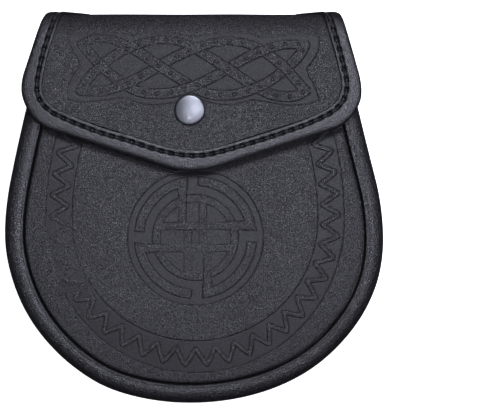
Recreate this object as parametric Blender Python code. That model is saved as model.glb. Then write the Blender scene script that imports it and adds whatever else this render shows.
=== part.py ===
"""Sporran pouch, lying on its back: a leather bag whose bound flap folds over its mouth and snaps shut.

X runs across the pouch, Y from its lowest point towards the fold of the flap, and Z from the surface
that it lies on towards the viewer.  In the code, "height" is a distance along Y from the lowest point,
"depth" is a distance along Z, and an "inset" is measured inwards from an outer edge.
"""

import math
from collections import namedtuple

import bmesh
import bpy
import numpy as np

MM = 0.001
MERGE = 0.005 * MM
SHARP_ANGLE = math.radians(40.0)

# The pouch as a whole
LEATHER = 2.2 * MM  # the flap's thickness
FOLD_HEIGHT = 194.65 * MM  # the outer face of the flap at its top fold
BINDING_PROUD = 1.35 * MM  # how far the binding stands above the flap
TOTAL_HEIGHT = FOLD_HEIGHT + BINDING_PROUD

# The bag's outline from the front: round below, an arc at its widest, then flanks that lean inwards
BAG_HALF_WIDTH = 94.5 * MM
BAG_WIDEST = 83.9 * MM
BAG_ROUNDNESS = 2.05  # the exponent of the superellipse below the widest height
SHOULDER_RADIUS = 120.5 * MM
FLANK_LEAN = math.radians(13.2)
FLANK_HEIGHTS = [190.1, 187.5, 184.5, 181.0, 177.0, 172.0, 160.0, 145.0, 128.0]  # mm, from the mouth down
SHOULDER_STEPS = 3
BOTTOM_STEPS = 12

# Both faces of the bag fall back towards the mouth, where the flap turns over it
FALL_START = 175.6 * MM
FALL_REACH = 15.5 * MM
FALL_DEPTH = 12.0 * MM

# The gusset's section, in mm: a rolled shoulder at the front and back, and a seam allowance under each panel.
# "falls" is the share of the fall towards the mouth that a row takes; below zero, the row rises.
WallRow = namedtuple("WallRow", "inset depth falls")
GUSSET_SECTION = [
    WallRow(17.0, 33.9, 1.0),  # front seam allowance
    WallRow(9.9, 33.9, 1.0),  # seam groove
    WallRow(8.9, 35.8, 1.0),
    WallRow(6.8, 36.5, 1.0),  # crest of the front shoulder
    WallRow(4.2, 36.0, 1.0),
    WallRow(2.0, 34.5, 1.0),
    WallRow(0.5, 32.3, 1.0),
    WallRow(0.0, 29.7, 1.0),  # outer face of the side wall
    WallRow(0.0, 6.0, 0.0),
    WallRow(0.8, 3.0, -0.2),
    WallRow(2.6, 0.9, -0.35),
    WallRow(5.0, 0.0, -0.35),  # flat of the back shoulder, which the pouch lies on
    WallRow(8.2, 0.0, -0.35),
    WallRow(9.6, 2.0, -0.2),
    WallRow(9.8, 5.3, 0.0),
    WallRow(17.0, 5.3, 0.0),  # back seam allowance
    WallRow(17.0, 7.3, 0.0),
    WallRow(8.6, 7.3, 0.0),
    WallRow(7.4, 2.4, -0.35),
    WallRow(4.4, 2.6, -0.35),
    WallRow(2.4, 4.6, -0.2),
    WallRow(2.0, 7.0, 0.0),  # inner face of the side wall
    WallRow(2.0, 29.7, 1.0),
    WallRow(3.3, 33.0, 1.0),
    WallRow(6.8, 34.4, 1.0),
    WallRow(8.0, 33.4, 1.0),
    WallRow(8.9, 31.9, 1.0),
    WallRow(17.0, 31.9, 1.0),
]

# The panels sit inside the seam grooves
PANEL_INSET = 10.1 * MM
PANEL_TOP_HEIGHT = 188.0 * MM
FRONT_PANEL_UNDERSIDE = 34.15 * MM
FRONT_PANEL_LEATHER = 2.0 * MM
EdgeRow = namedtuple("EdgeRow", "inset depth")
FRONT_PANEL_EDGE = [  # mm, how the front panel's face rounds over into the seam groove
    EdgeRow(10.1, 34.9),
    EdgeRow(11.1, 35.7),
    EdgeRow(13.1, 36.15),
    EdgeRow(30.0, 36.6),
]
PANEL_EDGE_INSETS = [10.1, 11.1, 13.1, 17.5]  # mm
PANEL_SHARES = [0.14, 0.38, 0.68, 1.0]  # of the way on from there to the middle
BELLY_RISE = 4.0 * MM  # how far the filled bag pushes the front panel out
BELLY_EDGE = 13.0 * MM
BELLY_REACH = 45.0 * MM
BELLY_FULL_HEIGHT = 72.0 * MM
BELLY_END_HEIGHT = 150.0 * MM
BACK_PANEL_FACE = 3.0 * MM
BACK_PANEL_LEATHER = 2.0 * MM

# The flap's side view: flat front, elliptic front shoulder, drop over the mouth, round back shoulder, lap
FLAP_DEPTH = 41.1 * MM  # the middle of the leather on the front
SHOULDER_HEIGHT = 16.0 * MM
SHOULDER_DEPTH = 12.0 * MM
BACK_FOLD_RADIUS = 8.0 * MM
LAP_CLEARANCE = 0.5 * MM  # the lap's outer face above the surface below
LAP_END_HEIGHT = 164.0 * MM
SLOPE_SPAN = 0.8 * MM  # the length of leather over which the surface's slope is read
FLAP_CROWN = 1.6 * MM  # how far the flap's sides lie lower than its middle
CROWN_HALF_WIDTH = 82.0 * MM

# The flap's outline, laid flat: flanks, rounded corners, and a blunt V with a rounded tip
FLAP_SLOPE = math.radians(18.0)  # of the flanks to upright, and of the V's sides to level
CORNER_X = 62.15 * MM
CORNER_HEIGHT = 158.85 * MM
CORNER_RADIUS = 23.0 * MM
TIP_RADIUS = 42.5 * MM
TIP_HEIGHT = 116.65 * MM
NECK_START = 198.0 * MM  # where the flanks begin to draw in behind the fold, along the leather
NECK_END = 231.0 * MM
NECK_HALF_WIDTH = 59.0 * MM
LAP_HALF_WIDTH = 57.0 * MM
FLAP_EDGE_INSET = 2.0 * MM  # the flap's own edge inside the binding
FRONT_SHARES = [0.35, 0.7, 1.0]  # rows between the flap's widest point and its lower edge

# The binding's section, in mm: its inset, and its distance from the middle of the flap's leather
BindRow = namedtuple("BindRow", "inset out")
BINDING_SECTION = [
    BindRow(9.0, 2.3),
    BindRow(6.4, 2.4),
    BindRow(3.2, 2.45),
    BindRow(1.2, 2.0),
    BindRow(0.25, 1.0),
    BindRow(0.0, 0.0),
    BindRow(0.25, -1.0),
    BindRow(1.2, -2.0),
    BindRow(3.2, -2.45),
    BindRow(9.0, -2.45),
    BindRow(9.0, -1.5),
    BindRow(1.7, -1.5),
    BindRow(1.2, 0.0),
    BindRow(1.7, 1.5),
    BindRow(9.0, 1.5),
]
BINDING_BACK_ANGLE = math.radians(45.0)  # how far it runs round the back shoulder
BACK_HALF_STEPS = 3  # rows over each half of the back shoulder
DROP_STEPS = 7
FRONT_FOLD_STEPS = 9
FLANK_STEPS = 2

# The snap
SNAP_HEIGHT = 146.25 * MM
SHANK = 2.4  # mm, the shank's radius
SHANK_CLEARANCE = 0.3  # mm, between the shank and its hole in the flap
LatheRow = namedtuple("LatheRow", "radius depth")
CAP_PROFILE = [  # mm; the depth is measured from the flap's outer face
    LatheRow(0.0, 3.15),
    LatheRow(2.2, 3.05),
    LatheRow(4.2, 2.65),
    LatheRow(6.0, 1.9),
    LatheRow(7.2, 1.05),
    LatheRow(7.6, 0.5),
    LatheRow(7.3, 0.25),
    LatheRow(SHANK, 0.25),
    LatheRow(SHANK, -2.45),
    LatheRow(5.2, -2.45),  # the socket
    LatheRow(5.2, -3.9),
    LatheRow(2.2, -3.9),
    LatheRow(2.2, -2.6),
    LatheRow(0.0, -2.6),
]
CAP_SIDES = 32
STUD_PROFILE = [  # mm; the depth is measured from the front panel's face
    LatheRow(0.0, 2.2),
    LatheRow(1.4, 2.1),
    LatheRow(1.8, 1.7),
    LatheRow(1.4, 1.2),
    LatheRow(1.4, 0.85),
    LatheRow(4.6, 0.85),
    LatheRow(4.9, 0.35),
    LatheRow(0.0, 0.35),
]
STUD_SIDES = 20

# The loop on the back, pressed flat
LOOP_HEIGHT = 149.0 * MM
LOOP_TALL = 22.0 * MM
LoopRow = namedtuple("LoopRow", "x depth")
LOOP_OUTER = [LoopRow(52.0, 1.0), LoopRow(50.0, 0.55), LoopRow(40.0, 0.35)]  # mm, half of its lower edge
LOOP_INNER = [LoopRow(38.0, 2.45), LoopRow(42.0, 2.75), LoopRow(52.0, 2.75)]  # mm, half of its upper edge

# Colours as linear values, with roughness and how metallic each is
Finish = namedtuple("Finish", "colour roughness metallic")
GRAINED_LEATHER = Finish((0.052, 0.052, 0.064), 0.55, 0.0)
SMOOTH_LEATHER = Finish((0.050, 0.050, 0.060), 0.42, 0.0)
NICKEL = Finish((0.60, 0.61, 0.63), 0.28, 1.0)


def smooth_step(value):
    """A number clipped to 0..1 and eased at both ends."""
    clipped = np.clip(value, 0.0, 1.0)
    return clipped * clipped * (3.0 - 2.0 * clipped)


# ---------------------------------------------------------------- the bag's outline


def right_outline():
    """The right half of the bag's outline from the mouth to the lowest point, with outward normals."""
    tangent_x = BAG_HALF_WIDTH - SHOULDER_RADIUS * (1.0 - math.cos(FLANK_LEAN))
    tangent_height = BAG_WIDEST + SHOULDER_RADIUS * math.sin(FLANK_LEAN)
    rows = []
    for height_mm in FLANK_HEIGHTS:
        height = height_mm * MM
        x = tangent_x - (height - tangent_height) * math.tan(FLANK_LEAN)
        rows.append((x, height, math.cos(FLANK_LEAN), math.sin(FLANK_LEAN)))
    for step in range(SHOULDER_STEPS):
        angle = FLANK_LEAN * (1.0 - step / SHOULDER_STEPS)
        x = BAG_HALF_WIDTH - SHOULDER_RADIUS * (1.0 - math.cos(angle))
        height = BAG_WIDEST + SHOULDER_RADIUS * math.sin(angle)
        rows.append((x, height, math.cos(angle), math.sin(angle)))
    for step in range(BOTTOM_STEPS + 1):
        angle = 0.5 * math.pi * step / BOTTOM_STEPS
        across = abs(math.cos(angle)) ** (2.0 / BAG_ROUNDNESS)
        down = math.sin(angle) ** (2.0 / BAG_ROUNDNESS)
        if step == BOTTOM_STEPS:
            across = 0.0
        slope_x = across ** (BAG_ROUNDNESS - 1.0) / BAG_HALF_WIDTH
        slope_y = -(down ** (BAG_ROUNDNESS - 1.0)) / BAG_WIDEST
        length = math.hypot(slope_x, slope_y)
        x = BAG_HALF_WIDTH * across
        height = BAG_WIDEST * (1.0 - down)
        rows.append((x, height, slope_x / length, slope_y / length))
    table = np.array(rows)
    return table[:, :2], table[:, 2:]


def whole_outline():
    """The bag's U-shaped outline from the mouth's right corner round to its left one."""
    points, normals = right_outline()
    mirror = np.array([-1.0, 1.0])
    left_points = points[:-1][::-1] * mirror
    left_normals = normals[:-1][::-1] * mirror
    return np.vstack([points, left_points]), np.vstack([normals, left_normals])


def distance_to_outline(plan):
    """How far each point (x, height) lies from the bag's outline, on its straight pieces."""
    points, _ = whole_outline()
    start = points[:-1]
    along = points[1:] - start
    offset = plan[:, None, :] - start[None, :, :]
    share = np.clip((offset * along).sum(axis=2) / (along * along).sum(axis=1), 0.0, 1.0)
    nearest = offset - share[:, :, None] * along
    return np.sqrt((nearest * nearest).sum(axis=2).min(axis=1))


def fall(height):
    """How far the bag's front falls back at a height, along a quarter of an ellipse."""
    reach = np.clip((height - FALL_START) / FALL_REACH, 0.0, 1.0)
    return FALL_DEPTH * (1.0 - np.sqrt(1.0 - reach * reach))


def front_face(plan):
    """The depth of the front panel's outer face at points (x, height): its edge, its belly and its fall."""
    inset = distance_to_outline(plan)
    edge_insets = [row.inset * MM for row in FRONT_PANEL_EDGE]
    edge_depths = [row.depth * MM for row in FRONT_PANEL_EDGE]
    edge = np.interp(inset, edge_insets, edge_depths)
    swell = np.sin(0.5 * math.pi * np.clip((inset - BELLY_EDGE) / BELLY_REACH, 0.0, 1.0))
    fill = smooth_step((BELLY_END_HEIGHT - plan[:, 1]) / (BELLY_END_HEIGHT - BELLY_FULL_HEIGHT))
    return edge + BELLY_RISE * swell * fill - fall(plan[:, 1])


def front_underside(plan, outer_face):
    """The depth of the front panel's inner face, which is skived thin where it lies on the seam allowance."""
    return np.maximum(outer_face - FRONT_PANEL_LEATHER, FRONT_PANEL_UNDERSIDE - fall(plan[:, 1]))


# ---------------------------------------------------------------- the flap's surface


def flap_side_view():
    """The middle of the flap's leather from the side: its length, height and depth, densely sampled.

    The length equals the height on the flat front, and goes on along the leather over the fold.
    """
    wall_height = FOLD_HEIGHT - LEATHER / 2
    turn_height = wall_height - SHOULDER_HEIGHT
    turn_depth = FLAP_DEPTH - SHOULDER_DEPTH
    front_turn = np.linspace(0.0, 0.5 * math.pi, 40)
    lap_depth = LAP_CLEARANCE + LEATHER / 2
    back_height = wall_height - BACK_FOLD_RADIUS
    back_depth = lap_depth + BACK_FOLD_RADIUS
    back_turn = np.linspace(0.0, 0.5 * math.pi, 24)
    height = np.concatenate(
        [
            [0.0],
            turn_height + SHOULDER_HEIGHT * np.sin(front_turn),
            back_height + BACK_FOLD_RADIUS * np.cos(back_turn),
            [LAP_END_HEIGHT],
        ]
    )
    depth = np.concatenate(
        [
            [FLAP_DEPTH],
            turn_depth + SHOULDER_DEPTH * np.cos(front_turn),
            back_depth - BACK_FOLD_RADIUS * np.sin(back_turn),
            [lap_depth],
        ]
    )
    length = np.concatenate([[0.0], np.cumsum(np.hypot(np.diff(height), np.diff(depth)))])
    return length, height, depth


def length_where(height, depth):
    """The length along the flap's leather at the sampled point nearest to a height and depth."""
    lengths, heights, depths = flap_side_view()
    nearest = np.argmin(np.hypot(heights - height, depths - depth))
    return lengths[nearest]


def on_flap(across, along, out):
    """Points on the flap: x across, length along the leather, and distance out from its middle."""
    lengths, heights, depths = flap_side_view()
    height = np.interp(along, lengths, heights)
    depth = np.interp(along, lengths, depths)
    ahead, behind = along + SLOPE_SPAN / 2, along - SLOPE_SPAN / 2
    rise = np.interp(ahead, lengths, heights) - np.interp(behind, lengths, heights)
    turn = np.interp(ahead, lengths, depths) - np.interp(behind, lengths, depths)
    size = np.hypot(rise, turn)
    wall_height = FOLD_HEIGHT - LEATHER / 2
    drop_start = length_where(wall_height, FLAP_DEPTH - SHOULDER_DEPTH)
    drop_end = length_where(wall_height, LAP_CLEARANCE + LEATHER / 2 + BACK_FOLD_RADIUS)
    crown_share = 1.0 - smooth_step((along - drop_start) / (drop_end - drop_start))
    crown = FLAP_CROWN * (across / CROWN_HALF_WIDTH) ** 2 * crown_share
    return np.stack(
        [across, height - out * turn / size, depth + out * rise / size - crown],
        axis=-1,
    )


def flank_half_width(along, inset):
    """The flap's half-width above its rounded corners: straight flanks, then a neck behind the fold."""
    radius = CORNER_RADIUS - inset
    tangent_x = CORNER_X + radius * math.cos(FLAP_SLOPE)
    tangent_along = CORNER_HEIGHT + radius * math.sin(FLAP_SLOPE)
    slope = math.tan(FLAP_SLOPE)
    corner = CORNER_X + np.sqrt(np.maximum(radius**2 - (along - CORNER_HEIGHT) ** 2, 0.0))
    flank = tangent_x - (along - tangent_along) * slope
    neck_span = NECK_END - NECK_START
    share = np.clip((along - NECK_START) / neck_span, 0.0, 1.0)
    neck_width = tangent_x - (NECK_START - tangent_along) * slope
    lap_start = NECK_HALF_WIDTH - inset
    ease = smooth_step(share)
    lead_out = (share - 2.0 * share**2 + share**3) * -slope * neck_span
    neck = neck_width * (1.0 - ease) + lap_start * ease + lead_out
    lengths, _, _ = flap_side_view()
    lap_share = np.clip((along - NECK_END) / (lengths[-1] - NECK_END), 0.0, 1.0)
    lap = lap_start + (LAP_HALF_WIDTH - NECK_HALF_WIDTH) * lap_share
    return np.select(
        [along < tangent_along, along < NECK_START, along < NECK_END],
        [corner, flank, neck],
        lap,
    )


def lower_contour(inset, corner_steps, side_steps, tip_steps):
    """Points (x, height) on the right of the flap's lower edge, from its widest point to its tip."""
    radius = CORNER_RADIUS - inset
    tip_radius = TIP_RADIUS - inset
    tip_centre = TIP_HEIGHT + TIP_RADIUS
    corner_end = 0.5 * math.pi - FLAP_SLOPE
    turn = np.linspace(0.0, corner_end, corner_steps + 1)
    corner = np.stack([CORNER_X + radius * np.cos(turn), CORNER_HEIGHT - radius * np.sin(turn)], axis=1)
    swing = np.linspace(FLAP_SLOPE, 0.0, tip_steps + 1)
    tip = np.stack([tip_radius * np.sin(swing), tip_centre - tip_radius * np.cos(swing)], axis=1)
    share = np.linspace(0.0, 1.0, side_steps + 1)[1:-1, None]
    side = corner[-1] * (1.0 - share) + tip[0] * share
    return np.vstack([corner, side, tip])


# ---------------------------------------------------------------- meshes


def new_object(name, mesh_builder, finish):
    """Put a finished bmesh into a named object with its own material, under the pouch's empty."""
    bmesh.ops.remove_doubles(mesh_builder, verts=mesh_builder.verts, dist=MERGE)
    bmesh.ops.recalc_face_normals(mesh_builder, faces=mesh_builder.faces)
    mesh = bpy.data.meshes.new(name)
    mesh_builder.to_mesh(mesh)
    mesh_builder.free()
    mesh.shade_smooth()
    mesh.set_sharp_from_angle(angle=SHARP_ANGLE)
    material = bpy.data.materials.new(name)
    material.use_nodes = True
    shader = material.node_tree.nodes["Principled BSDF"]
    shader.inputs["Base Color"].default_value = (*finish.colour, 1.0)
    shader.inputs["Roughness"].default_value = finish.roughness
    shader.inputs["Metallic"].default_value = finish.metallic
    mesh.materials.append(material)
    obj = bpy.data.objects.new(name, mesh)
    bpy.context.scene.collection.objects.link(obj)
    obj.parent = POUCH
    return obj


def add_grid(mesh_builder, points):
    """Add a grid of points (rows, columns, 3) as quads, and return its vertices row by row."""
    rows, columns = points.shape[:2]
    verts = [[mesh_builder.verts.new(points[r, c]) for c in range(columns)] for r in range(rows)]
    for r in range(rows - 1):
        for c in range(columns - 1):
            mesh_builder.faces.new([verts[r][c], verts[r][c + 1], verts[r + 1][c + 1], verts[r + 1][c]])
    return verts


def bridge(mesh_builder, first, second):
    """Join two rows of vertices with quads."""
    for step in range(len(first) - 1):
        mesh_builder.faces.new([first[step], first[step + 1], second[step + 1], second[step]])


def sheet(name, outer, inner, finish, last_row_meets=False):
    """A closed sheet between two grids of points. The last row may fold onto itself and need no rim."""
    mesh_builder = bmesh.new()
    top = add_grid(mesh_builder, outer)
    bottom = add_grid(mesh_builder, inner)
    bridge(mesh_builder, top[0], bottom[0])
    if not last_row_meets:
        bridge(mesh_builder, top[-1], bottom[-1])
    for side in (0, -1):
        bridge(mesh_builder, [row[side] for row in top], [row[side] for row in bottom])
    return new_object(name, mesh_builder, finish)


def tube_of_sections(name, sections, finish):
    """A closed strip through a list of sections (stations, rows, 3), with flat ends."""
    mesh_builder = bmesh.new()
    verts = [[mesh_builder.verts.new(point) for point in section] for section in sections]
    for section, following in zip(verts, verts[1:]):
        bridge(mesh_builder, section + section[:1], following + following[:1])
    mesh_builder.faces.new(verts[0])
    mesh_builder.faces.new(verts[-1])
    new_object(name, mesh_builder, finish)


def turned(name, profile, sides, centre, finish):
    """A piece turned on the lathe: a profile that starts and ends on the axis, spun about Z."""
    mesh_builder = bmesh.new()
    rings = []
    for row in profile:
        count = 1 if row.radius == 0.0 else sides
        angles = [2.0 * math.pi * step / sides for step in range(count)]
        radius = row.radius * MM
        rings.append(
            [
                mesh_builder.verts.new(
                    (
                        centre[0] + radius * math.cos(angle),
                        centre[1] + radius * math.sin(angle),
                        centre[2] + row.depth * MM,
                    )
                )
                for angle in angles
            ]
        )
    for upper, lower in zip(rings, rings[1:]):
        for step in range(sides):
            after = (step + 1) % sides
            corners = [
                upper[step % len(upper)],
                upper[after % len(upper)],
                lower[after % len(lower)],
                lower[step % len(lower)],
            ]
            mesh_builder.faces.new(list(dict.fromkeys(corners)))
    new_object(name, mesh_builder, finish)


# ---------------------------------------------------------------- the pieces


def build_gusset():
    """The bag's wall: the section above carried round the U of the outline."""
    points, normals = whole_outline()
    sections = []
    for point, normal in zip(points, normals):
        rows = []
        for row in GUSSET_SECTION:
            plan = point - normal * row.inset * MM
            rows.append((plan[0], plan[1], row.depth * MM - row.falls * fall(plan[1])))
        sections.append(rows)
    tube_of_sections("gusset", sections, SMOOTH_LEATHER)


def panel_plan():
    """A grid (rows, columns, 2) over a panel, from its mouth edge down, each row from right to left.

    Below the widest height the rows turn like a fan about the middle, and the last one folds onto itself.
    """
    points, normals = right_outline()
    keep = points[:, 1] <= PANEL_TOP_HEIGHT
    points, normals = points[keep], normals[keep]
    rows = []
    for point, normal in zip(points, normals):
        edge = [point - normal * inset * MM for inset in PANEL_EDGE_INSETS]
        spine = np.array([0.0, max(edge[-1][1], BAG_WIDEST)])
        half = edge + [edge[-1] * (1.0 - share) + spine * share for share in PANEL_SHARES]
        other = [place * np.array([-1.0, 1.0]) for place in half[:-1][::-1]]
        rows.append(half + other)
    return np.array(rows)


def build_front_panel():
    """The bag's front: domed over its contents, rounded over into the seam groove."""
    plan = panel_plan()
    flat = plan.reshape(-1, 2)
    face = front_face(flat)
    under = front_underside(flat, face)
    outer = np.column_stack([flat, face]).reshape(*plan.shape[:2], 3)
    inner = np.column_stack([flat, under]).reshape(*plan.shape[:2], 3)
    sheet("front_panel", outer, inner, GRAINED_LEATHER, last_row_meets=True)


def build_back_panel():
    """The bag's back: a flat sheet that lies between the back shoulders of the gusset."""
    points, normals = whole_outline()
    keep = points[:, 1] <= PANEL_TOP_HEIGHT
    plan = points[keep] - normals[keep] * PANEL_INSET
    mesh_builder = bmesh.new()
    verts = [mesh_builder.verts.new((x, height, BACK_PANEL_FACE)) for x, height in plan]
    face = mesh_builder.faces.new(verts)
    raised = bmesh.ops.extrude_face_region(mesh_builder, geom=[face])
    moved = [item for item in raised["geom"] if isinstance(item, bmesh.types.BMVert)]
    bmesh.ops.translate(mesh_builder, verts=moved, vec=(0.0, 0.0, BACK_PANEL_LEATHER))
    new_object("back_panel", mesh_builder, GRAINED_LEATHER)


def fold_lengths():
    """Rows across the fold as lengths along the leather, from the back shoulder's end to the flat front."""
    wall_height = FOLD_HEIGHT - LEATHER / 2
    drop_end = length_where(wall_height, LAP_CLEARANCE + LEATHER / 2 + BACK_FOLD_RADIUS)
    drop_start = length_where(wall_height, FLAP_DEPTH - SHOULDER_DEPTH)
    front_turn = length_where(wall_height - SHOULDER_HEIGHT, FLAP_DEPTH)
    back_half = drop_end + BINDING_BACK_ANGLE * BACK_FOLD_RADIUS
    back = np.linspace(back_half, drop_end, BACK_HALF_STEPS, endpoint=False)
    drop = np.linspace(drop_end, drop_start, DROP_STEPS, endpoint=False)
    shoulder = np.linspace(drop_start, front_turn, FRONT_FOLD_STEPS + 1)
    return np.concatenate([back, drop, shoulder])


def flap_lengths():
    """The rows of the flap from the lap to its widest point, as lengths along the leather."""
    lengths, _, _ = flap_side_view()
    lap_start = length_where(FOLD_HEIGHT - LEATHER / 2 - BACK_FOLD_RADIUS, LAP_CLEARANCE + LEATHER / 2)
    fold = fold_lengths()
    back = np.linspace(lap_start, fold[0], BACK_HALF_STEPS, endpoint=False)
    front = np.linspace(fold[-1], CORNER_HEIGHT, FLANK_STEPS + 1)[1:]
    return np.concatenate([lengths[-1:], back, fold, front])


def build_flap():
    """The flap: one sheet from the lap, over the fold, to its point, with a hole for the snap's shank."""
    corner = lower_contour(FLAP_EDGE_INSET, corner_steps=5, side_steps=4, tip_steps=2)
    contour = np.vstack([corner, corner[:-1][::-1] * np.array([-1.0, 1.0])])
    widest = CORNER_X + CORNER_RADIUS - FLAP_EDGE_INSET
    upper_lengths = flap_lengths()
    upper_widths = flank_half_width(upper_lengths, FLAP_EDGE_INSET)
    upper_x = upper_widths[:, None] * (contour[:, 0] / widest)[None, :]
    upper_along = np.broadcast_to(upper_lengths[:, None], upper_x.shape)
    shares = np.array(FRONT_SHARES)[:, None]
    lower_x = np.broadcast_to(contour[:, 0][None, :], (len(shares), len(contour)))
    lower_along = CORNER_HEIGHT + (contour[:, 1][None, :] - CORNER_HEIGHT) * shares
    across = np.vstack([upper_x, lower_x])
    along = np.vstack([upper_along, lower_along])
    outer = on_flap(across, along, LEATHER / 2)
    inner = on_flap(across, along, -LEATHER / 2)
    cut_shank_hole(sheet("flap", outer, inner, GRAINED_LEATHER))


def cut_shank_hole(flap):
    """Cut the round hole that the snap's shank passes through."""
    radius = (SHANK + SHANK_CLEARANCE) * MM
    cutter_builder = bmesh.new()
    bmesh.ops.create_cone(
        cutter_builder,
        cap_ends=True,
        segments=STUD_SIDES,
        radius1=radius,
        radius2=radius,
        depth=4.0 * LEATHER,
    )
    cutter_mesh = bpy.data.meshes.new("shank_hole")
    cutter_builder.to_mesh(cutter_mesh)
    cutter_builder.free()
    cutter = bpy.data.objects.new("shank_hole", cutter_mesh)
    bpy.context.scene.collection.objects.link(cutter)
    cutter.parent = POUCH
    cutter.location = (0.0, SNAP_HEIGHT, FLAP_DEPTH)
    cutter.hide_render = True
    cutter.display_type = "WIRE"
    cut = flap.modifiers.new("shank_hole", "BOOLEAN")
    cut.object = cutter
    cut.solver = "EXACT"


def binding_path():
    """The flap's outer edge laid flat, from right to left, with the directions that point inwards."""
    fold = fold_lengths()
    upper_lengths = np.concatenate([fold, np.linspace(fold[-1], CORNER_HEIGHT, FLANK_STEPS + 2)[1:-1]])
    upper = np.stack([flank_half_width(upper_lengths, 0.0), upper_lengths], axis=1)
    lower = lower_contour(0.0, corner_steps=7, side_steps=3, tip_steps=3)
    right = np.vstack([upper, lower])
    whole = np.vstack([right, right[:-1][::-1] * np.array([-1.0, 1.0])])
    ahead = np.diff(whole, axis=0)
    ahead /= np.hypot(ahead[:, 0], ahead[:, 1])[:, None]
    tangent = np.vstack([ahead[:1], ahead[:-1] + ahead[1:], ahead[-1:]])
    tangent /= np.hypot(tangent[:, 0], tangent[:, 1])[:, None]
    inward = np.stack([tangent[:, 1], -tangent[:, 0]], axis=1)
    return whole, inward


def build_flap_binding():
    """The folded strip round the flap's edge, a U in section that holds the edge in its slot."""
    path, inward = binding_path()
    insets = np.array([row.inset for row in BINDING_SECTION]) * MM
    outs = np.array([row.out for row in BINDING_SECTION]) * MM
    flat = path[:, None, :] + inward[:, None, :] * insets[None, :, None]
    out = np.broadcast_to(outs[None, :], flat.shape[:2])
    tube_of_sections("flap_binding", on_flap(flat[:, :, 0], flat[:, :, 1], out), SMOOTH_LEATHER)


def build_snap():
    """The cap with its shank and socket, and the stud that it closes on."""
    flap_face = FLAP_DEPTH + LEATHER / 2
    turned("snap_cap", CAP_PROFILE, CAP_SIDES, (0.0, SNAP_HEIGHT, flap_face), NICKEL)
    panel_face = float(front_face(np.array([[0.0, SNAP_HEIGHT]]))[0])
    turned("snap_stud", STUD_PROFILE, STUD_SIDES, (0.0, SNAP_HEIGHT, panel_face), NICKEL)


def build_back_loop():
    """The loop that the waist strap passes through, sewn at its ends and lying flat while empty."""
    right = [(row.x, row.depth) for row in LOOP_OUTER]
    left = [(-row.x, row.depth) for row in LOOP_OUTER[::-1]]
    upper_left = [(-row.x, row.depth) for row in LOOP_INNER[::-1]]
    upper_right = [(row.x, row.depth) for row in LOOP_INNER]
    side_view = right + left + upper_left + upper_right
    sections = [
        [(x * MM, height, depth * MM) for x, depth in side_view]
        for height in (LOOP_HEIGHT - LOOP_TALL / 2, LOOP_HEIGHT + LOOP_TALL / 2)
    ]
    tube_of_sections("back_loop", sections, SMOOTH_LEATHER)


for old_object in list(bpy.data.objects):
    bpy.data.objects.remove(old_object, do_unlink=True)

POUCH = bpy.data.objects.new("sporran_pouch", None)
bpy.context.scene.collection.objects.link(POUCH)
POUCH.location = (0.0, -TOTAL_HEIGHT / 2, 0.0)

build_gusset()
build_front_panel()
build_back_panel()
build_flap()
build_flap_binding()
build_snap()
build_back_loop()
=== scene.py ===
"""Looks of a sporran pouch: embossed black leather, a rolled gusset, a bound flap and a nickel snap.

Plan coordinates are in millimetres: x across the pouch, height up from its lowest point, and depth up
from the surface that it lies on.  Each surface is worked out in them as whole arrays, from the same
sizes as the solids, and then put into the frame in metres.
"""
import logging
import math
from dataclasses import dataclass, field, replace
from enum import Enum

import bpy
import numpy as np
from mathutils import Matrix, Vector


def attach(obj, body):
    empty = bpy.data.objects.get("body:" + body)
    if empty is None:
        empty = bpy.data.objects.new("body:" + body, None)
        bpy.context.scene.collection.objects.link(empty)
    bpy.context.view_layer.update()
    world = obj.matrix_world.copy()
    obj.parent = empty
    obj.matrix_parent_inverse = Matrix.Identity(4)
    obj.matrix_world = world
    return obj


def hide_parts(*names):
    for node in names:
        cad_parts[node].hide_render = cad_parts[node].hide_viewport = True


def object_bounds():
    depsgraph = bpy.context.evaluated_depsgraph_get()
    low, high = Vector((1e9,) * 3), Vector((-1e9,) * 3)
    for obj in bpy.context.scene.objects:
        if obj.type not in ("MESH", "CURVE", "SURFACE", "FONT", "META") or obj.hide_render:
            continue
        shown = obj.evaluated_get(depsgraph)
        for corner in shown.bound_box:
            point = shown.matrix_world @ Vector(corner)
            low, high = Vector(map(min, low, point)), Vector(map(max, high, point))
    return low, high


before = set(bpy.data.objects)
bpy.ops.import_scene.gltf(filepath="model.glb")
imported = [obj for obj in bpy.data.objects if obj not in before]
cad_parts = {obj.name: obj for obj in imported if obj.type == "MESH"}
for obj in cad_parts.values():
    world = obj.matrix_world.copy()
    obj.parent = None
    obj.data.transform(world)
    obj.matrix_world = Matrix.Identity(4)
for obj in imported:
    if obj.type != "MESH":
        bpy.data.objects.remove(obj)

Array = np.ndarray
Chosen = Array | slice
Socket = bpy.types.NodeSocket
Tree = bpy.types.NodeTree
Material = bpy.types.Material
Piece = bpy.types.Object
MM = 0.001
CAD_BOX = [list(corner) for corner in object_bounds()]
LOG = logging.getLogger("sporran_pouch")

# The snap's axis in plan, in mm
SNAP_PLACE = (-1.0, 146.25)


class Slot(Enum):
    """The record's material slots."""

    GRAINED = "grained_leather"
    SMOOTH = "smooth_leather"
    NICKEL = "nickel"


# ---- numbers and curves


def ease(value: Array) -> Array:
    """A value clipped to 0..1 and eased at both ends: 3 t^2 - 2 t^3."""
    clipped = np.clip(value, 0.0, 1.0)
    return clipped * clipped * (3.0 - 2.0 * clipped)


def bell(value: Array, power: int = 2) -> Array:
    """A bell curve, 1 at 0 and a third at 1, with a flatter top where the power is higher."""
    return np.exp(-(value**power))


def lengths_along(path: Array) -> Array:
    """The length along a path at each of its points, from 0 at the first."""
    return np.concatenate([[0.0], np.cumsum(np.linalg.norm(np.diff(path, axis=0), axis=1))])


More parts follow.
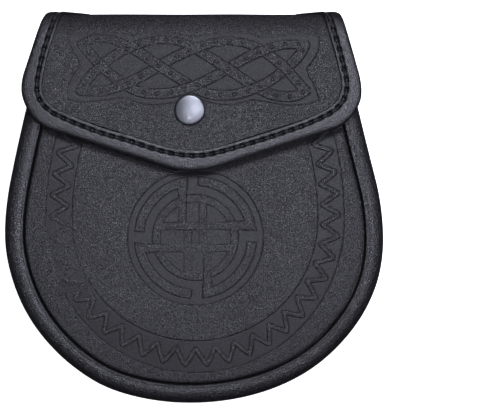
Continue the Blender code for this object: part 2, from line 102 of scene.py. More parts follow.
def points_at(path: Array, lengths: Array) -> Array:
    """The points of a path at given lengths along it.

    Args:
        path: points (n, dimensions).
        lengths: an array of any shape.
    Returns:
        Points of the shape (*lengths.shape, dimensions).
    """
    known = lengths_along(path)
    return np.stack([np.interp(lengths, known, path[:, axis]) for axis in range(path.shape[1])], axis=-1)


def smooth_curve(knots: Array, samples: int) -> Array:
    """A Catmull-Rom curve: each stretch is the cubic that leaves a knot along its neighbours' chord.

    Args:
        knots: points (n, 2) that the curve passes through.
        samples: points for each stretch between two knots.
    Returns:
        The curve's points, from the first knot to the last.
    """
    ends = np.vstack([2.0 * knots[0] - knots[1], knots, 2.0 * knots[-1] - knots[-2]])
    share = np.linspace(0.0, 1.0, samples, endpoint=False)[None, :, None]
    before, start, stop, after = (ends[step : len(ends) - 3 + step, None, :] for step in range(4))
    curve = 0.5 * (
        2.0 * start
        + (stop - before) * share
        + (2.0 * before - 5.0 * start + 4.0 * stop - after) * share**2
        + (3.0 * start - before - 3.0 * stop + after) * share**3
    )
    return np.vstack([curve.reshape(-1, knots.shape[1]), knots[-1:]])


def table_value(table: tuple, at: Array, column: int = 1) -> Array:
    """A table's column between its rows, along a smooth curve, at values of its first column."""
    curve = smooth_curve(np.array(table), 8)
    return np.interp(at, curve[:, 0], curve[:, column])


def unit(vectors: Array) -> Array:
    """Vectors (..., dimensions) brought to length 1."""
    return vectors / np.linalg.norm(vectors, axis=-1)[..., None]


def to_the_left(path: Array) -> Array:
    """The unit directions (n, 2) to the left of a path, square to its run at each point."""
    heading = unit(np.gradient(path, axis=0))
    return np.stack([-heading[:, 1], heading[:, 0]], axis=1)


def round_arc(radius: float, angle: Array) -> Array:
    """The points (n, 2) of a circle about the origin at angles from the right."""
    return radius * np.stack([np.cos(angle), np.sin(angle)], axis=1)


def turned_about(points: Array, angle: float) -> Array:
    """Points (n, 2) turned anticlockwise about the origin by an angle in radians."""
    cosine, sine = math.cos(angle), math.sin(angle)
    return points @ np.array([[cosine, sine], [-sine, cosine]])


def even_steps(places: tuple[float, ...], counts: tuple[int, ...]) -> Array:
    """Numbers through the given places, with the given counts of even steps between them."""
    runs = [np.linspace(*ends, count, endpoint=False) for *ends, count in zip(places, places[1:], counts)]
    return np.concatenate([*runs, places[-1:]])


def distance_to(plan: Array, path: Array, reach: float) -> Array:
    """The distance from plan points to a path, cut off at a reach.

    A few straight pieces of the path at a time are taken against the points that they can reach.

    Args:
        plan: points (n, 2).
        path: the path's points (m, 2).
        reach: the largest distance of interest, in mm.
    Returns:
        One distance for each point, in mm.
    """
    pieces_at_once = 12
    found = np.full(len(plan), reach)
    for first in range(0, len(path) - 1, pieces_at_once):
        part = path[first : first + pieces_at_once + 1]
        close = ((plan > part.min(axis=0) - reach) & (plan < part.max(axis=0) + reach)).all(axis=1)
        chosen = np.flatnonzero(close)
        along = np.diff(part, axis=0)
        offset = plan[chosen, None, :] - part[None, :-1, :]
        share = np.clip((offset * along).sum(axis=2) / (along * along).sum(axis=1), 0.0, 1.0)
        gap = np.linalg.norm(offset - share[:, :, None] * along, axis=2).min(axis=1)
        found[chosen] = np.minimum(found[chosen], gap)
    return found


def inside(plan: Array, ring: Array) -> Array:
    """Whether plan points lie inside a closed ring, by how often a line to the right crosses it.

    Args:
        plan: points (n, 2).
        ring: the ring's corners (m, 2), the first one not repeated.
    Returns:
        True or False for each point.
    """
    odd = np.zeros(len(plan), dtype=bool)
    x, height = plan[:, 0], plan[:, 1]
    for (x0, h0), (x1, h1) in zip(ring, np.roll(ring, -1, axis=0)):
        if h0 != h1:
            crosses = (h0 > height) != (h1 > height)
            odd ^= crosses & (x < x0 + (height - h0) * (x1 - x0) / (h1 - h0))
    return odd


def waves(plan: Array, seed: int, length: float, count: int = 14) -> Array:
    """Slow unevenness of about -1..1: a sum of cosine waves in seeded directions and phases.

    Args:
        plan: points (n, 2) in mm.
        seed: the seed of the directions, lengths and phases.
        length: the middle wave length, in mm.
        count: how many waves are added.
    Returns:
        One value for each point.
    """
    random = np.random.default_rng(seed)
    turn = random.uniform(0.0, math.tau, count)
    number = math.tau / (length * random.uniform(0.7, 1.6, count))
    phase = random.uniform(0.0, math.tau, count)
    along = plan[:, :1] * (np.cos(turn) * number) + plan[:, 1:] * (np.sin(turn) * number)
    return np.cos(along + phase).sum(axis=1) / math.sqrt(2.0 * count)


# ---- meshes


def into_scene(name: str, data: bpy.types.ID) -> Piece:
    """A new object in the scene.

    Args:
        name: its name.
        data: its mesh, camera or light.
    Returns:
        The object.
    """
    thing = bpy.data.objects.new(name, data)
    bpy.context.scene.collection.objects.link(thing)
    return thing


def grid_faces(rows: int, columns: int, wrap: bool = False) -> Array:
    """Quads over a grid of vertices that are numbered row by row.

    Args:
        rows: how many rows of vertices there are.
        columns: how many vertices each row has.
        wrap: whether the last column is joined to the first.
    Returns:
        The corners' numbers (faces, 4).
    """
    row = np.arange(rows - 1)[:, None] * columns
    column = np.arange(columns if wrap else columns - 1)[None, :]
    following = (column + 1) % columns
    corners = [row + column, row + columns + column, row + columns + following, row + following]
    return np.stack(corners, axis=-1).reshape(-1, 4)


def enclosed(points: Array, faces: list[Array]) -> float:
    """The signed volume inside closed faces: a sixth of the triple products of their triangle fans.

    Args:
        points: the mesh's points (n, 3).
        faces: groups of faces, each an array (faces, corners) of point numbers.
    Returns:
        The volume, positive where the faces point out.
    """
    total = 0.0
    for group in faces:
        for corner in range(1, group.shape[1] - 1):
            first, second, third = (points[group[:, place]] for place in (0, corner, corner + 1))
            total += float((first * np.cross(second, third)).sum()) / 6.0
    return total


@dataclass
class Shape:
    """A closed mesh in plan millimetres, with named values for its points."""

    points: Array
    faces: list[Array]
    values: dict[str, Array] = field(default_factory=dict)

    def to_object(self, name: str, material: Material, sharp: float = 50.0) -> Piece:
        """Put the shape into the frame as an object at the origin, with its faces pointing out.

        Args:
            name: the object's name.
            material: its material.
            sharp: the angle in degrees above which an edge stays sharp.
        Returns:
            The new object.
        """
        volume = enclosed(self.points, self.faces)
        step = -1 if volume < 0.0 else 1
        faces = [face for group in self.faces for face in group[:, ::step].tolist()]
        mesh = bpy.data.meshes.new(name)
        placed = self.points * MM + np.array([0.0, CAD_BOX[0][1], 0.0])
        mesh.from_pydata(placed.tolist(), [], faces)
        for key, value in self.values.items():
            mesh.attributes.new(key, "FLOAT", "POINT").data.foreach_set("value", value.astype(np.float32))
        mesh.shade_smooth()
        mesh.set_sharp_from_angle(angle=math.radians(sharp))
        mesh.materials.append(material)
        mesh.update()
        cubic_cm = abs(volume) / 1000.0
        LOG.info("%s: %d points, %d faces, %.1f cm3", name, len(self.points), len(faces), cubic_cm)
        return into_scene(name, mesh)


def sheet(outer: Array, inner: Array, step: int) -> Shape:
    """A closed sheet of leather: a fine outer face, a coarser inner one, and a rim that joins the two.

    Args:
        outer: the outer face's points (rows, columns, 3).
        inner: the inner face's points, one for every step-th row and column of the outer ones.
        step: how many cells of the outer face one cell of the inner face spans.
    Returns:
        The sheet.
    """
    fine = np.arange(outer[..., 0].size).reshape(outer.shape[:2])
    coarse = np.arange(inner[..., 0].size).reshape(inner.shape[:2]) + fine.size
    rims = []
    for upper, lower, forward in (
        (fine[0], coarse[0], True),
        (fine[-1], coarse[-1], False),
        (fine[:, 0], coarse[:, 0], False),
        (fine[:, -1], coarse[:, -1], True),
    ):
        first = np.arange(len(lower) - 1) * step
        edge = [upper[first + offset] for offset in range(step + 1)]
        rim = np.stack([*edge, lower[1:], lower[:-1]], axis=-1)
        rims.append(rim if forward else rim[:, ::-1])
    faces = [grid_faces(*fine.shape), grid_faces(*coarse.shape)[:, ::-1] + fine.size, np.vstack(rims)]
    return Shape(np.vstack([outer.reshape(-1, 3), inner.reshape(-1, 3)]), faces)


def panel(grid: Array, outer_depth: Array, inner_depth: Array, step: int) -> Shape:
    """A sheet whose two faces lie over the same plan points.

    Args:
        grid: the plan points (rows, columns, 2).
        outer_depth: the outer face's depth at each.
        inner_depth: the inner face's depth at each.
        step: how many cells of the outer face one cell of the inner face spans.
    Returns:
        The sheet.
    """
    depths = (depth.reshape(*grid.shape[:2], 1) for depth in (outer_depth, inner_depth))
    outer, inner = (np.concatenate([grid, depth], axis=-1) for depth in depths)
    return sheet(outer, inner[::step, ::step], step)


def swept(sections: Array) -> Shape:
    """A closed strip: a section carried through stations, with a flat face at each end.

    Args:
        sections: the points (stations, around, 3) of the section's closed loop at each station.
    Returns:
        The strip.
    """
    stations, around = sections.shape[:2]
    last = (stations - 1) * around
    ends = np.stack([np.arange(around), last + np.arange(around)[::-1]])
    return Shape(sections.reshape(-1, 3), [grid_faces(stations, around, wrap=True), ends])


def rounded_loop(loop: Array, passes: int) -> Array:
    """A closed loop with its corners cut, at a quarter and at three quarters of every side.

    Args:
        loop: the loop's corners (n, dimensions).
        passes: how many times the corners are cut.
    Returns:
        The rounder loop, with twice as many corners after each pass.
    """
    for _ in range(passes):
        after = np.roll(loop, -1, axis=0)
        cut = np.stack([0.75 * loop + 0.25 * after, 0.25 * loop + 0.75 * after], axis=1)
        loop = cut.reshape(-1, loop.shape[1])
    return loop


def lathed(profile: Array, sides: int, centre: tuple[float, float, float]) -> Shape:
    """A turned piece: a profile (radius, depth) that starts and ends on the axis, spun about the depth.

    Args:
        profile: points (n, 2) in mm; the first and last have no radius.
        sides: how many sides the piece has.
        centre: the axis in plan, and the depth that the profile is measured from.
    Returns:
        The turned piece.
    """
    angle = np.arange(sides) * math.tau / sides
    radius, depth = profile[1:-1, :1], profile[1:-1, 1:]
    rings = np.stack([radius * np.cos(angle), radius * np.sin(angle), depth + 0.0 * angle], axis=-1)
    poles = np.array([[0.0, 0.0, profile[0, 1]], [0.0, 0.0, profile[-1, 1]]])
    count = rings.shape[0] * sides
    around = np.arange(sides)
    after = (around + 1) % sides
    top = np.stack([np.full(sides, count), around, after], axis=-1)
    bottom = np.stack([np.full(sides, count + 1), count - sides + after, count - sides + around], axis=-1)
    points = np.vstack([rings.reshape(-1, 3), poles]) + np.array(centre)
    return Shape(points, [grid_faces(rings.shape[0], sides, wrap=True), np.vstack([top, bottom])])


# ---- the pouch's form


@dataclass(frozen=True)
class BagForm:
    """The bag's form from the front, and how its front domes over what it holds.

    Each rim field gives how far the panel's edge is drawn down, and how far in a third of that is left.
    """

    half_width: float = 94.5
    widest: float = 83.9
    roundness: float = 2.05
    shoulder_radius: float = 120.5
    flank_lean: float = math.radians(13.2)
    flank_top: float = 190.1
    fall_start: float = 175.6
    fall_reach: float = 15.5
    fall_depth: float = 12.0
    panel_inset: float = 10.1
    panel_top: float = 188.0
    panel_depth: float = 36.6
    belly_rise: float = 4.0
    belly_edge: float = 13.0
    belly_reach: float = 45.0
    belly_full: float = 72.0
    belly_end: float = 150.0
    leather: float = 2.0
    underside: float = 33.45
    seam_lean: float = 0.035
    rim_settle: tuple[float, float] = (0.6, 6.0)
    rim_tuck: tuple[float, float] = (1.4, 1.0)
    side_share: float = 0.345

    # Share of the outline's length from the mouth's right corner, and how far out the edge lies there
    DRIFT = (
        (0.0, 0.5), (0.10, 0.5), (0.16, 0.9), (0.20, 1.25), (0.23, 1.6), (0.27, 1.85), (0.33, 1.3),
        (0.38, 1.15), (0.44, 0.55), (0.48, 0.4), (0.54, 0.65), (0.59, 1.05), (0.625, 0.25), (0.67, -0.65),
        (0.73, -1.05), (0.78, -0.45), (0.82, -0.3), (0.86, 0.28), (0.90, 0.5), (1.0, 0.5),
    )

    def right_half(self) -> tuple[Array, Array]:
        """The outline's right half, from the mouth to the lowest point: a line, an arc and a superellipse.

        Returns:
            Its points (n, 2) and the directions (n, 2) that point outwards.
        """
        lean, radius = self.flank_lean, self.shoulder_radius
        start_x = self.half_width - radius * (1.0 - math.cos(lean))
        start_height = self.widest + radius * math.sin(lean)
        heights = np.linspace(self.flank_top, start_height, 60, endpoint=False)
        flank = np.stack([start_x - (heights - start_height) * math.tan(lean), heights], axis=1)
        turn = np.linspace(lean, 0.0, 24, endpoint=False)
        arc_x = self.half_width - radius * (1.0 - np.cos(turn))
        arc = np.stack([arc_x, self.widest + radius * np.sin(turn)], axis=1)
        angle = np.linspace(0.0, 0.5 * math.pi, 121)
        power = 2.0 / self.roundness
        across, down = np.abs(np.cos(angle)) ** power, np.sin(angle) ** power
        across[-1] = 0.0
        bottom = np.stack([self.half_width * across, self.widest * (1.0 - down)], axis=1)
        slope = self.roundness - 1.0
        steep = np.stack([across**slope / self.half_width, -(down**slope) / self.widest], axis=1)
        level = np.tile([math.cos(lean), math.sin(lean)], (len(flank), 1))
        outwards = np.vstack([level, round_arc(1.0, turn), unit(steep)])
        return np.vstack([flank, arc, bottom]), outwards

    def outline(self, inset: float = 0.0) -> tuple[Array, Array]:
        """The whole outline from the mouth's right corner round to its left one, moved in by an inset.

        The hand-sewn bag isn't quite even, so each point is also moved out by the drift at its place.

        Args:
            inset: how far inside the outer outline, in mm.
        Returns:
            Its points (n, 2) and the directions (n, 2) that point outwards.
        """
        points, outwards = self.right_half()
        mirror = np.array([-1.0, 1.0])
        points = np.vstack([points, points[-2::-1] * mirror])
        outwards = np.vstack([outwards, outwards[-2::-1] * mirror])
        lengths = lengths_along(points)
        out = table_value(self.DRIFT, lengths / lengths[-1])
        return points + outwards * (out - inset * self.narrowing(outwards))[:, None], outwards

    def narrowing(self, outwards: Array) -> Array:
        """The factor of an inset: the seam lies a little to the right all round."""
        return 1.0 - self.seam_lean * outwards[:, 0]

    def fall(self, height: Array) -> Array:
        """How far the front falls back towards the mouth, along a quarter of an ellipse."""
        reach = np.clip((height - self.fall_start) / self.fall_reach, 0.0, 1.0)
        return self.fall_depth * (1.0 - np.sqrt(1.0 - reach * reach))

    def front(self, plan: Array) -> Array:
        """The front panel's depth: two exponential roll-overs at its edge, a sine belly and the fall.

        Args:
            plan: points (n, 2).
        Returns:
            The depth of the leather's face at each point.
        """
        inset = distance_to(plan, self.outline()[0][::3], 70.0)
        past = np.maximum(inset - self.panel_inset, 0.0)
        (settle_depth, settle_reach), (tuck_depth, tuck_reach) = self.rim_settle, self.rim_tuck
        drawn = settle_depth * np.exp(-past / settle_reach)
        edge = self.panel_depth - drawn - tuck_depth * np.exp(-past / tuck_reach)
        swell = np.sin(0.5 * math.pi * np.clip((inset - self.belly_edge) / self.belly_reach, 0.0, 1.0))
        fill = ease((self.belly_end - plan[:, 1]) / (self.belly_end - self.belly_full))
        return edge + self.belly_rise * swell * fill - self.fall(plan[:, 1])

    def panel_grid(self, shares: Array, columns: int) -> Array:
        """Plan points over a panel: rows from edge to edge that take on the round of its bottom.

        A straight line joins the same places of the left and right edges, which are each a little over a
        third of the whole edge, and the row takes the square of its share of the bottom's bulge.

        Args:
            shares: each row's place from the mouth (0) to the bottom (1).
            columns: points in each row.
        Returns:
            Points (rows, columns, 2).
        """
        edge, _ = self.outline(self.panel_inset)
        edge = edge[edge[:, 1] <= self.panel_top][::-1]
        total = lengths_along(edge)[-1]
        side = self.side_share * total
        left = points_at(edge, shares * side)
        bottom = points_at(edge, np.linspace(side, total - side, columns))
        return rows_with_bulge(left, bottom, shares**2)


def rows_with_bulge(left: Array, bottom: Array, bulge_shares: Array) -> Array:
    """A grid from a left edge, its mirror image on the right, and a bottom edge that bulges.

    Args:
        left: the left edge's points (rows, 2).
        bottom: the bottom edge's points (columns, 2), from left to right.
        bulge_shares: the share of the bottom's bulge that each row takes.
    Returns:
        Points (rows, columns, 2).
    """
    across = np.linspace(-1.0, 1.0, len(bottom))
    chord = np.stack([-bottom[0, 0] * across, np.full(len(bottom), bottom[0, 1])], axis=1)
    rows_x = -left[:, :1] * across[None, :]
    rows = np.stack([rows_x, np.repeat(left[:, 1:], len(bottom), axis=1)], axis=-1)
    return rows + bulge_shares[:, None, None] * (bottom - chord)[None]


@dataclass(frozen=True)
class FlapForm:
    """The flap's form: from the side a path over the mouth, and laid flat a blunt V with round corners."""

    leather: float = 2.2
    fold_height: float = 194.65
    front_depth: float = 41.1
    shoulder_height: float = 16.0
    shoulder_depth: float = 12.0
    back_radius: float = 8.0
    lap_clearance: float = 0.5
    lap_end: float = 164.0
    crown: float = 1.6
    crown_half_width: float = 82.0
    slope: float = math.radians(18.0)
    corner_x: float = 62.15
    corner_height: float = 158.85
    corner_radius: float = 23.0
    tip_radius: float = 42.5
    tip_height: float = 116.65
    neck_start: float = 198.0
    neck_end: float = 231.0
    neck_half_width: float = 59.0
    lap_half_width: float = 57.0

    # Length along the leather, and how far out the left and right edges lie from an even flap's
    DRIFT = (
        (140.0, 0.3, 0.4), (150.0, 0.35, 0.45), (156.0, 0.15, -0.2), (162.0, -0.25, -0.8),
        (168.0, -0.45, -0.8), (174.0, -0.5, -0.55), (182.0, -0.5, -0.3), (187.5, -0.4, 0.05),
        (191.0, -0.2, 0.4), (194.5, -0.1, 0.8), (199.0, 0.3, 1.3), (206.0, 0.3, 1.2), (220.0, 0.0, 0.0),
    )

    def side_view(self) -> tuple[Array, Array, Array]:
        """The middle of the leather from the side: a line, an elliptic shoulder, a drop, an arc, a line.

        Returns:
            The length along the leather, the height and the depth; the length is the height in front.
        """
        wall = self.fold_height - self.leather / 2
        lap_depth = self.lap_clearance + self.leather / 2
        front, back = np.linspace(0.0, 0.5 * math.pi, 80), np.linspace(0.0, 0.5 * math.pi, 48)
        rising = wall - self.shoulder_height * (1.0 - np.sin(front))
        height = np.hstack([0.0, rising, wall - self.back_radius * (1.0 - np.cos(back)), self.lap_end])
        turning = self.front_depth - self.shoulder_depth * (1.0 - np.cos(front))
        falling = lap_depth + self.back_radius * (1.0 - np.sin(back))
        depth = np.hstack([self.front_depth, turning, falling, lap_depth])
        return lengths_along(np.stack([height, depth], axis=1)), height, depth

    def length_at(self, height: float, depth: float) -> float:
        """The length along the leather at the sampled point nearest to a height and depth."""
        lengths, heights, depths = self.side_view()
        return float(lengths[np.argmin(np.hypot(heights - height, depths - depth))])

    def landmarks(self) -> tuple[float, float, float]:
        """Where along the leather its side view turns from one stretch to the next.

        Returns:
            The lengths where the front shoulder starts, where the drop starts and where the drop ends.
        """
        wall = self.fold_height - self.leather / 2
        return (
            self.length_at(wall - self.shoulder_height, self.front_depth),
            self.length_at(wall, self.front_depth - self.shoulder_depth),
            self.length_at(wall, self.lap_clearance + self.leather / 2 + self.back_radius),
        )

    def place(self, across: Array, along: Array, out: Array) -> Array:
        """Points of the folded flap: out from its middle, across its slope, with its sides a little lower.

        Towards each side, the square of the share across brings in the hand-cut edge's drift.

        Args:
            across: x in mm.
            along: the length along the leather in mm.
            out: the distance out from the middle of the leather in mm.
        Returns:
            Points (..., 3).
        """
        lengths, heights, depths = self.side_view()
        span = 0.4
        rise, turn = (
            np.interp(along + span, lengths, line) - np.interp(along - span, lengths, line)
            for line in (heights, depths)
        )
        size = np.hypot(rise, turn)
        _, drop_start, drop_end = self.landmarks()
        share = 1.0 - ease((along - drop_start) / (drop_end - drop_start))
        crown = self.crown * (across / self.crown_half_width) ** 2 * share
        height = np.interp(along, lengths, heights) - out * turn / size
        depth = np.interp(along, lengths, depths) + out * rise / size - crown
        left, right = (table_value(self.DRIFT, along, side) for side in (1, 2))
        aside = np.sign(across) * (across / self.crown_half_width) ** 2 * np.where(across < 0.0, left, right)
        return np.stack([across + aside + 0.0 * height, height, depth], axis=-1)

    def half_width(self, along: Array, inset: float) -> Array:
        """The half-width above the corners: flanks at the slope, then a neck eased in behind the fold.

        The neck is a cubic that leaves the flank in its direction; a straight lap follows.

        Args:
            along: the length along the leather.
            inset: how far inside the flap's edge, in mm.
        Returns:
            The half-width at each length.
        """
        radius = self.corner_radius - inset
        start_x = self.corner_x + radius * math.cos(self.slope)
        start = self.corner_height + radius * math.sin(self.slope)
        lean = math.tan(self.slope)
        span = self.neck_end - self.neck_start
        share = np.clip((along - self.neck_start) / span, 0.0, 1.0)
        lead_out = (share - 2.0 * share**2 + share**3) * -lean * span
        eased = ease(share)
        neck_width = start_x - (self.neck_start - start) * lean
        neck = neck_width * (1.0 - eased) + (self.neck_half_width - inset) * eased + lead_out
        lap_share = np.clip((along - self.neck_end) / (self.side_view()[0][-1] - self.neck_end), 0.0, 1.0)
        lap = self.neck_half_width - inset + (self.lap_half_width - self.neck_half_width) * lap_share
        flank = start_x - (along - start) * lean
        return np.select([along < self.neck_start, along < self.neck_end], [flank, neck], lap)

    def left_edge(self, inset: float, top: float) -> Array:
        """The left edge laid flat: down its flank, round the corner's arc and the tip's.

        Args:
            inset: how far inside the flap's edge, in mm.
            top: the length along the leather where the edge starts.
        Returns:
            Points (n, 2), the last on the middle line.
        """
        radius, tip_radius = self.corner_radius - inset, self.tip_radius - inset
        along = np.linspace(top, self.corner_height + radius * math.sin(self.slope), 160)
        flank = np.stack([-self.half_width(along, inset), along], axis=1)
        turn = np.linspace(-self.slope, 0.5 * math.pi - self.slope, 48)[1:]
        corner = np.stack(
            [-self.corner_x - radius * np.cos(turn), self.corner_height - radius * np.sin(turn)], axis=1
        )
        swing = np.linspace(self.slope, 0.0, 16)
        centre = self.tip_height + self.tip_radius
        tip = np.stack([-tip_radius * np.sin(swing), centre - tip_radius * np.cos(swing)], axis=1)
        return np.vstack([flank, corner, tip])

    def edge(self, inset: float, top: float) -> Array:
        """The whole edge laid flat, from the left top corner round the tip to the right one."""
        left = self.left_edge(inset, top)
        return np.vstack([left, left[-2::-1] * np.array([-1.0, 1.0])])


# ---- stamped patterns


@dataclass
class Stamped:
    """What a heated stamp leaves: a share pressed smooth, the distance to its lines, and raised dots.

    The distance is kept as the line value, which the painted shade and shadows elsewhere on the leather also
    use.
    """

    pressed: Array
    line: Array
    raised: Array

    # How far from a line it is measured, and the distances at which it is black and no longer dark at all
    LINE_REACH = 3.0
    BLACK, CLEAR = 0.04, 0.42

    # The width of a pressed area's edge, a groove's half-width, and what a line loses where no stamp took
    EDGE_WIDTH = 0.7
    GROOVE_HALF = 0.38
    FADING = 0.5

    @classmethod
    def blank(cls, count: int) -> "Stamped":
        """Leather that no stamp has touched."""
        return cls(np.zeros(count), np.full(count, cls.LINE_REACH), np.zeros(count))

    def add_line(self, distance: Array, chosen: Chosen = slice(None)) -> None:
        """Add a line by its distance from the chosen points."""
        self.line[chosen] = np.minimum(self.line[chosen], distance)

    def press(self, depth_in: Array, chosen: Chosen = slice(None)) -> None:
        """Press the chosen points where their signed distance into an area is positive."""
        share = ease(0.5 + depth_in / self.EDGE_WIDTH)
        self.pressed[chosen] = np.maximum(self.pressed[chosen], share)

    def faded_line(self, strength: Array) -> Array:
        """The distance to the lines, made longer where the stamp took less well, so that they show less."""
        return self.line + (1.0 - strength) * self.FADING

    def mark(self, shape: Shape, strength: Array, line: Array) -> None:
        """Give a sheet's outer face its stamp, and the rest of its points none.

        Args:
            shape: the sheet, with the outer face's points first.
            strength: how well the stamp took at each point of that face, 0..1.
            line: the line value at each point of that face.
        """
        rest = len(shape.points) - len(line)
        shape.values["pressed"] = np.concatenate([self.pressed * strength, np.zeros(rest)])
        shape.values["line"] = np.concatenate([line, np.full(rest, self.LINE_REACH)])

    def relief(self, press_depth: float, line_depth: float, strength: Array) -> Array:
        """The height left by the stamp: pressed areas sink, and lines are grooves with a bell section.

        Args:
            press_depth: how deep the pressed areas lie, in mm.
            line_depth: how deep the lines are, in mm.
            strength: how well the stamp took at each point, 0..1.
        Returns:
            The height of each point in mm.
        """
        groove = bell(self.line / self.GROOVE_HALF)
        return strength * (self.raised - press_depth * self.pressed - line_depth * groove)


@dataclass(frozen=True)
class Crossing:
    """Where two ribbons cross: their numbers, the lengths along them, the place and half the angle."""

    ribbons: tuple[int, int]
    lengths: tuple[float, float]
    place: Array
    half_angle: float


@dataclass(frozen=True)
class Interlace:
    """Ribbons that pass over and under each other: only the upper one's edges show where two cross.

    For each ribbon, overs says whether it passes over at its crossings, in a pattern that repeats.
    """

    ribbons: tuple[Array, ...]
    overs: tuple[tuple[bool, ...], ...]

    # Past the crossing's corners, how far the upper ribbon's edges are drawn, and how far its run goes on
    CORNER_MARGIN = 0.3
    RUN_ON_WIDTHS = 1.6

    def crossings(self) -> list[Crossing]:
        """Every crossing, by the place where two straight pieces of the ribbons meet.

        Returns:
            The crossings in the order of their first ribbon's pieces.
        """
        starts = np.vstack([ribbon[:-1] for ribbon in self.ribbons])
        steps = np.vstack([np.diff(ribbon, axis=0) for ribbon in self.ribbons])
        owner = np.concatenate([np.full(len(ribbon) - 1, k) for k, ribbon in enumerate(self.ribbons)])
        length = np.concatenate([lengths_along(ribbon)[:-1] for ribbon in self.ribbons])
        gap = starts[None, :, :] - starts[:, None, :]
        turn = steps[:, None, 0] * steps[None, :, 1] - steps[:, None, 1] * steps[None, :, 0]
        turn = np.where(np.abs(turn) < 1e-12, 1e-12, turn)
        first = (gap[..., 0] * steps[None, :, 1] - gap[..., 1] * steps[None, :, 0]) / turn
        second = (gap[..., 0] * steps[:, None, 1] - gap[..., 1] * steps[:, None, 0]) / turn
        order = np.arange(len(starts))
        later = order[None, :] - order[:, None]
        apart = (later > 1) | ((owner[:, None] != owner[None, :]) & (later > 0))
        hit = apart & (first >= 0.0) & (first < 1.0) & (second >= 0.0) & (second < 1.0)
        found = []
        for one, other in np.argwhere(hit):
            size_one, size_other = np.linalg.norm(steps[one]), np.linalg.norm(steps[other])
            cosine = abs(float(steps[one] @ steps[other])) / (size_one * size_other)
            length_one = float(length[one] + first[one, other] * size_one)
            length_other = float(length[other] + second[one, other] * size_other)
            place = starts[one] + first[one, other] * steps[one]
            half_angle = 0.5 * math.acos(min(cosine, 1.0))
            owners = int(owner[one]), int(owner[other])
            found.append(Crossing(owners, (length_one, length_other), place, half_angle))
        return found

    def over_at(self, ribbon: int, length: float, crossings: list[Crossing]) -> bool:
        """Whether a ribbon is the upper one at a crossing, by the crossing's number along it.

        Args:
            ribbon: the ribbon's number.
            length: the length along it at the crossing.
            crossings: every crossing.
        Returns:
            True where it passes over.
        """
        mine = (zip(crossing.ribbons, crossing.lengths) for crossing in crossings)
        lengths = sorted(at for pair in mine for who, at in pair if who == ribbon)
        number = int(np.argmin(np.abs(np.array(lengths) - length)))
        return self.overs[ribbon][number % len(self.overs[ribbon])]

    def gap_and_line(self, plan: Array, half_width: Array) -> tuple[Array, Array]:
        """How far each point is from the ribbons' area, and from the nearest edge that shows.

        Args:
            plan: points (n, 2).
            half_width: the ribbons' half-width at each point.
        Returns:
            The signed distance to the area, negative inside, and the distance to a visible edge.
        """
        reach = float(half_width.max()) + Stamped.LINE_REACH
        gap = np.full(len(plan), Stamped.LINE_REACH)
        for ribbon in self.ribbons:
            one = distance_to(plan, ribbon, reach) - half_width
            if not np.allclose(ribbon[0], ribbon[-1]):
                one = self.cut_square(plan, ribbon, one, half_width)
            gap = np.minimum(gap, one)
        line = np.abs(gap)
        crossings = self.crossings()
        widest = float(half_width.max())
        for crossing in crossings:
            upper = 0 if self.over_at(crossing.ribbons[0], crossing.lengths[0], crossings) else 1
            path = self.ribbons[crossing.ribbons[upper]]
            known = lengths_along(path)
            radius = widest / math.sin(crossing.half_angle) + self.CORNER_MARGIN
            run = radius + self.RUN_ON_WIDTHS * widest
            window = crossing.lengths[upper] + np.linspace(-run, run, 41)
            if np.allclose(path[0], path[-1]):
                window = window % known[-1]
            passing = points_at(path, np.clip(window, 0.0, known[-1]))
            near = np.flatnonzero(np.linalg.norm(plan - crossing.place, axis=1) < radius)
            edge = np.abs(distance_to(plan[near], passing, reach) - half_width[near])
            line[near] = np.minimum(line[near], edge)
        return gap, line

    @staticmethod
    def cut_square(plan: Array, ribbon: Array, gap: Array, half_width: Array) -> Array:
        """Give a ribbon a straight end at its first point, square to its direction there.

        Args:
            plan: points (n, 2).
            ribbon: the ribbon's middle line.
            gap: the signed distance from the ribbon, which has a round end.
            half_width: its half-width at each point.
        Returns:
            The signed distance from the ribbon with a straight end.
        """
        direction = unit(ribbon[0] - ribbon[1])
        offset = plan - ribbon[0]
        beyond = offset @ direction
        aside = np.abs(offset @ np.array([-direction[1], direction[0]]))
        near = np.linalg.norm(offset, axis=1) < 3.0 * half_width
        squared = np.where(beyond > 0.0, np.maximum(aside - half_width, beyond), np.maximum(gap, beyond))
        return np.where(near, squared, gap)


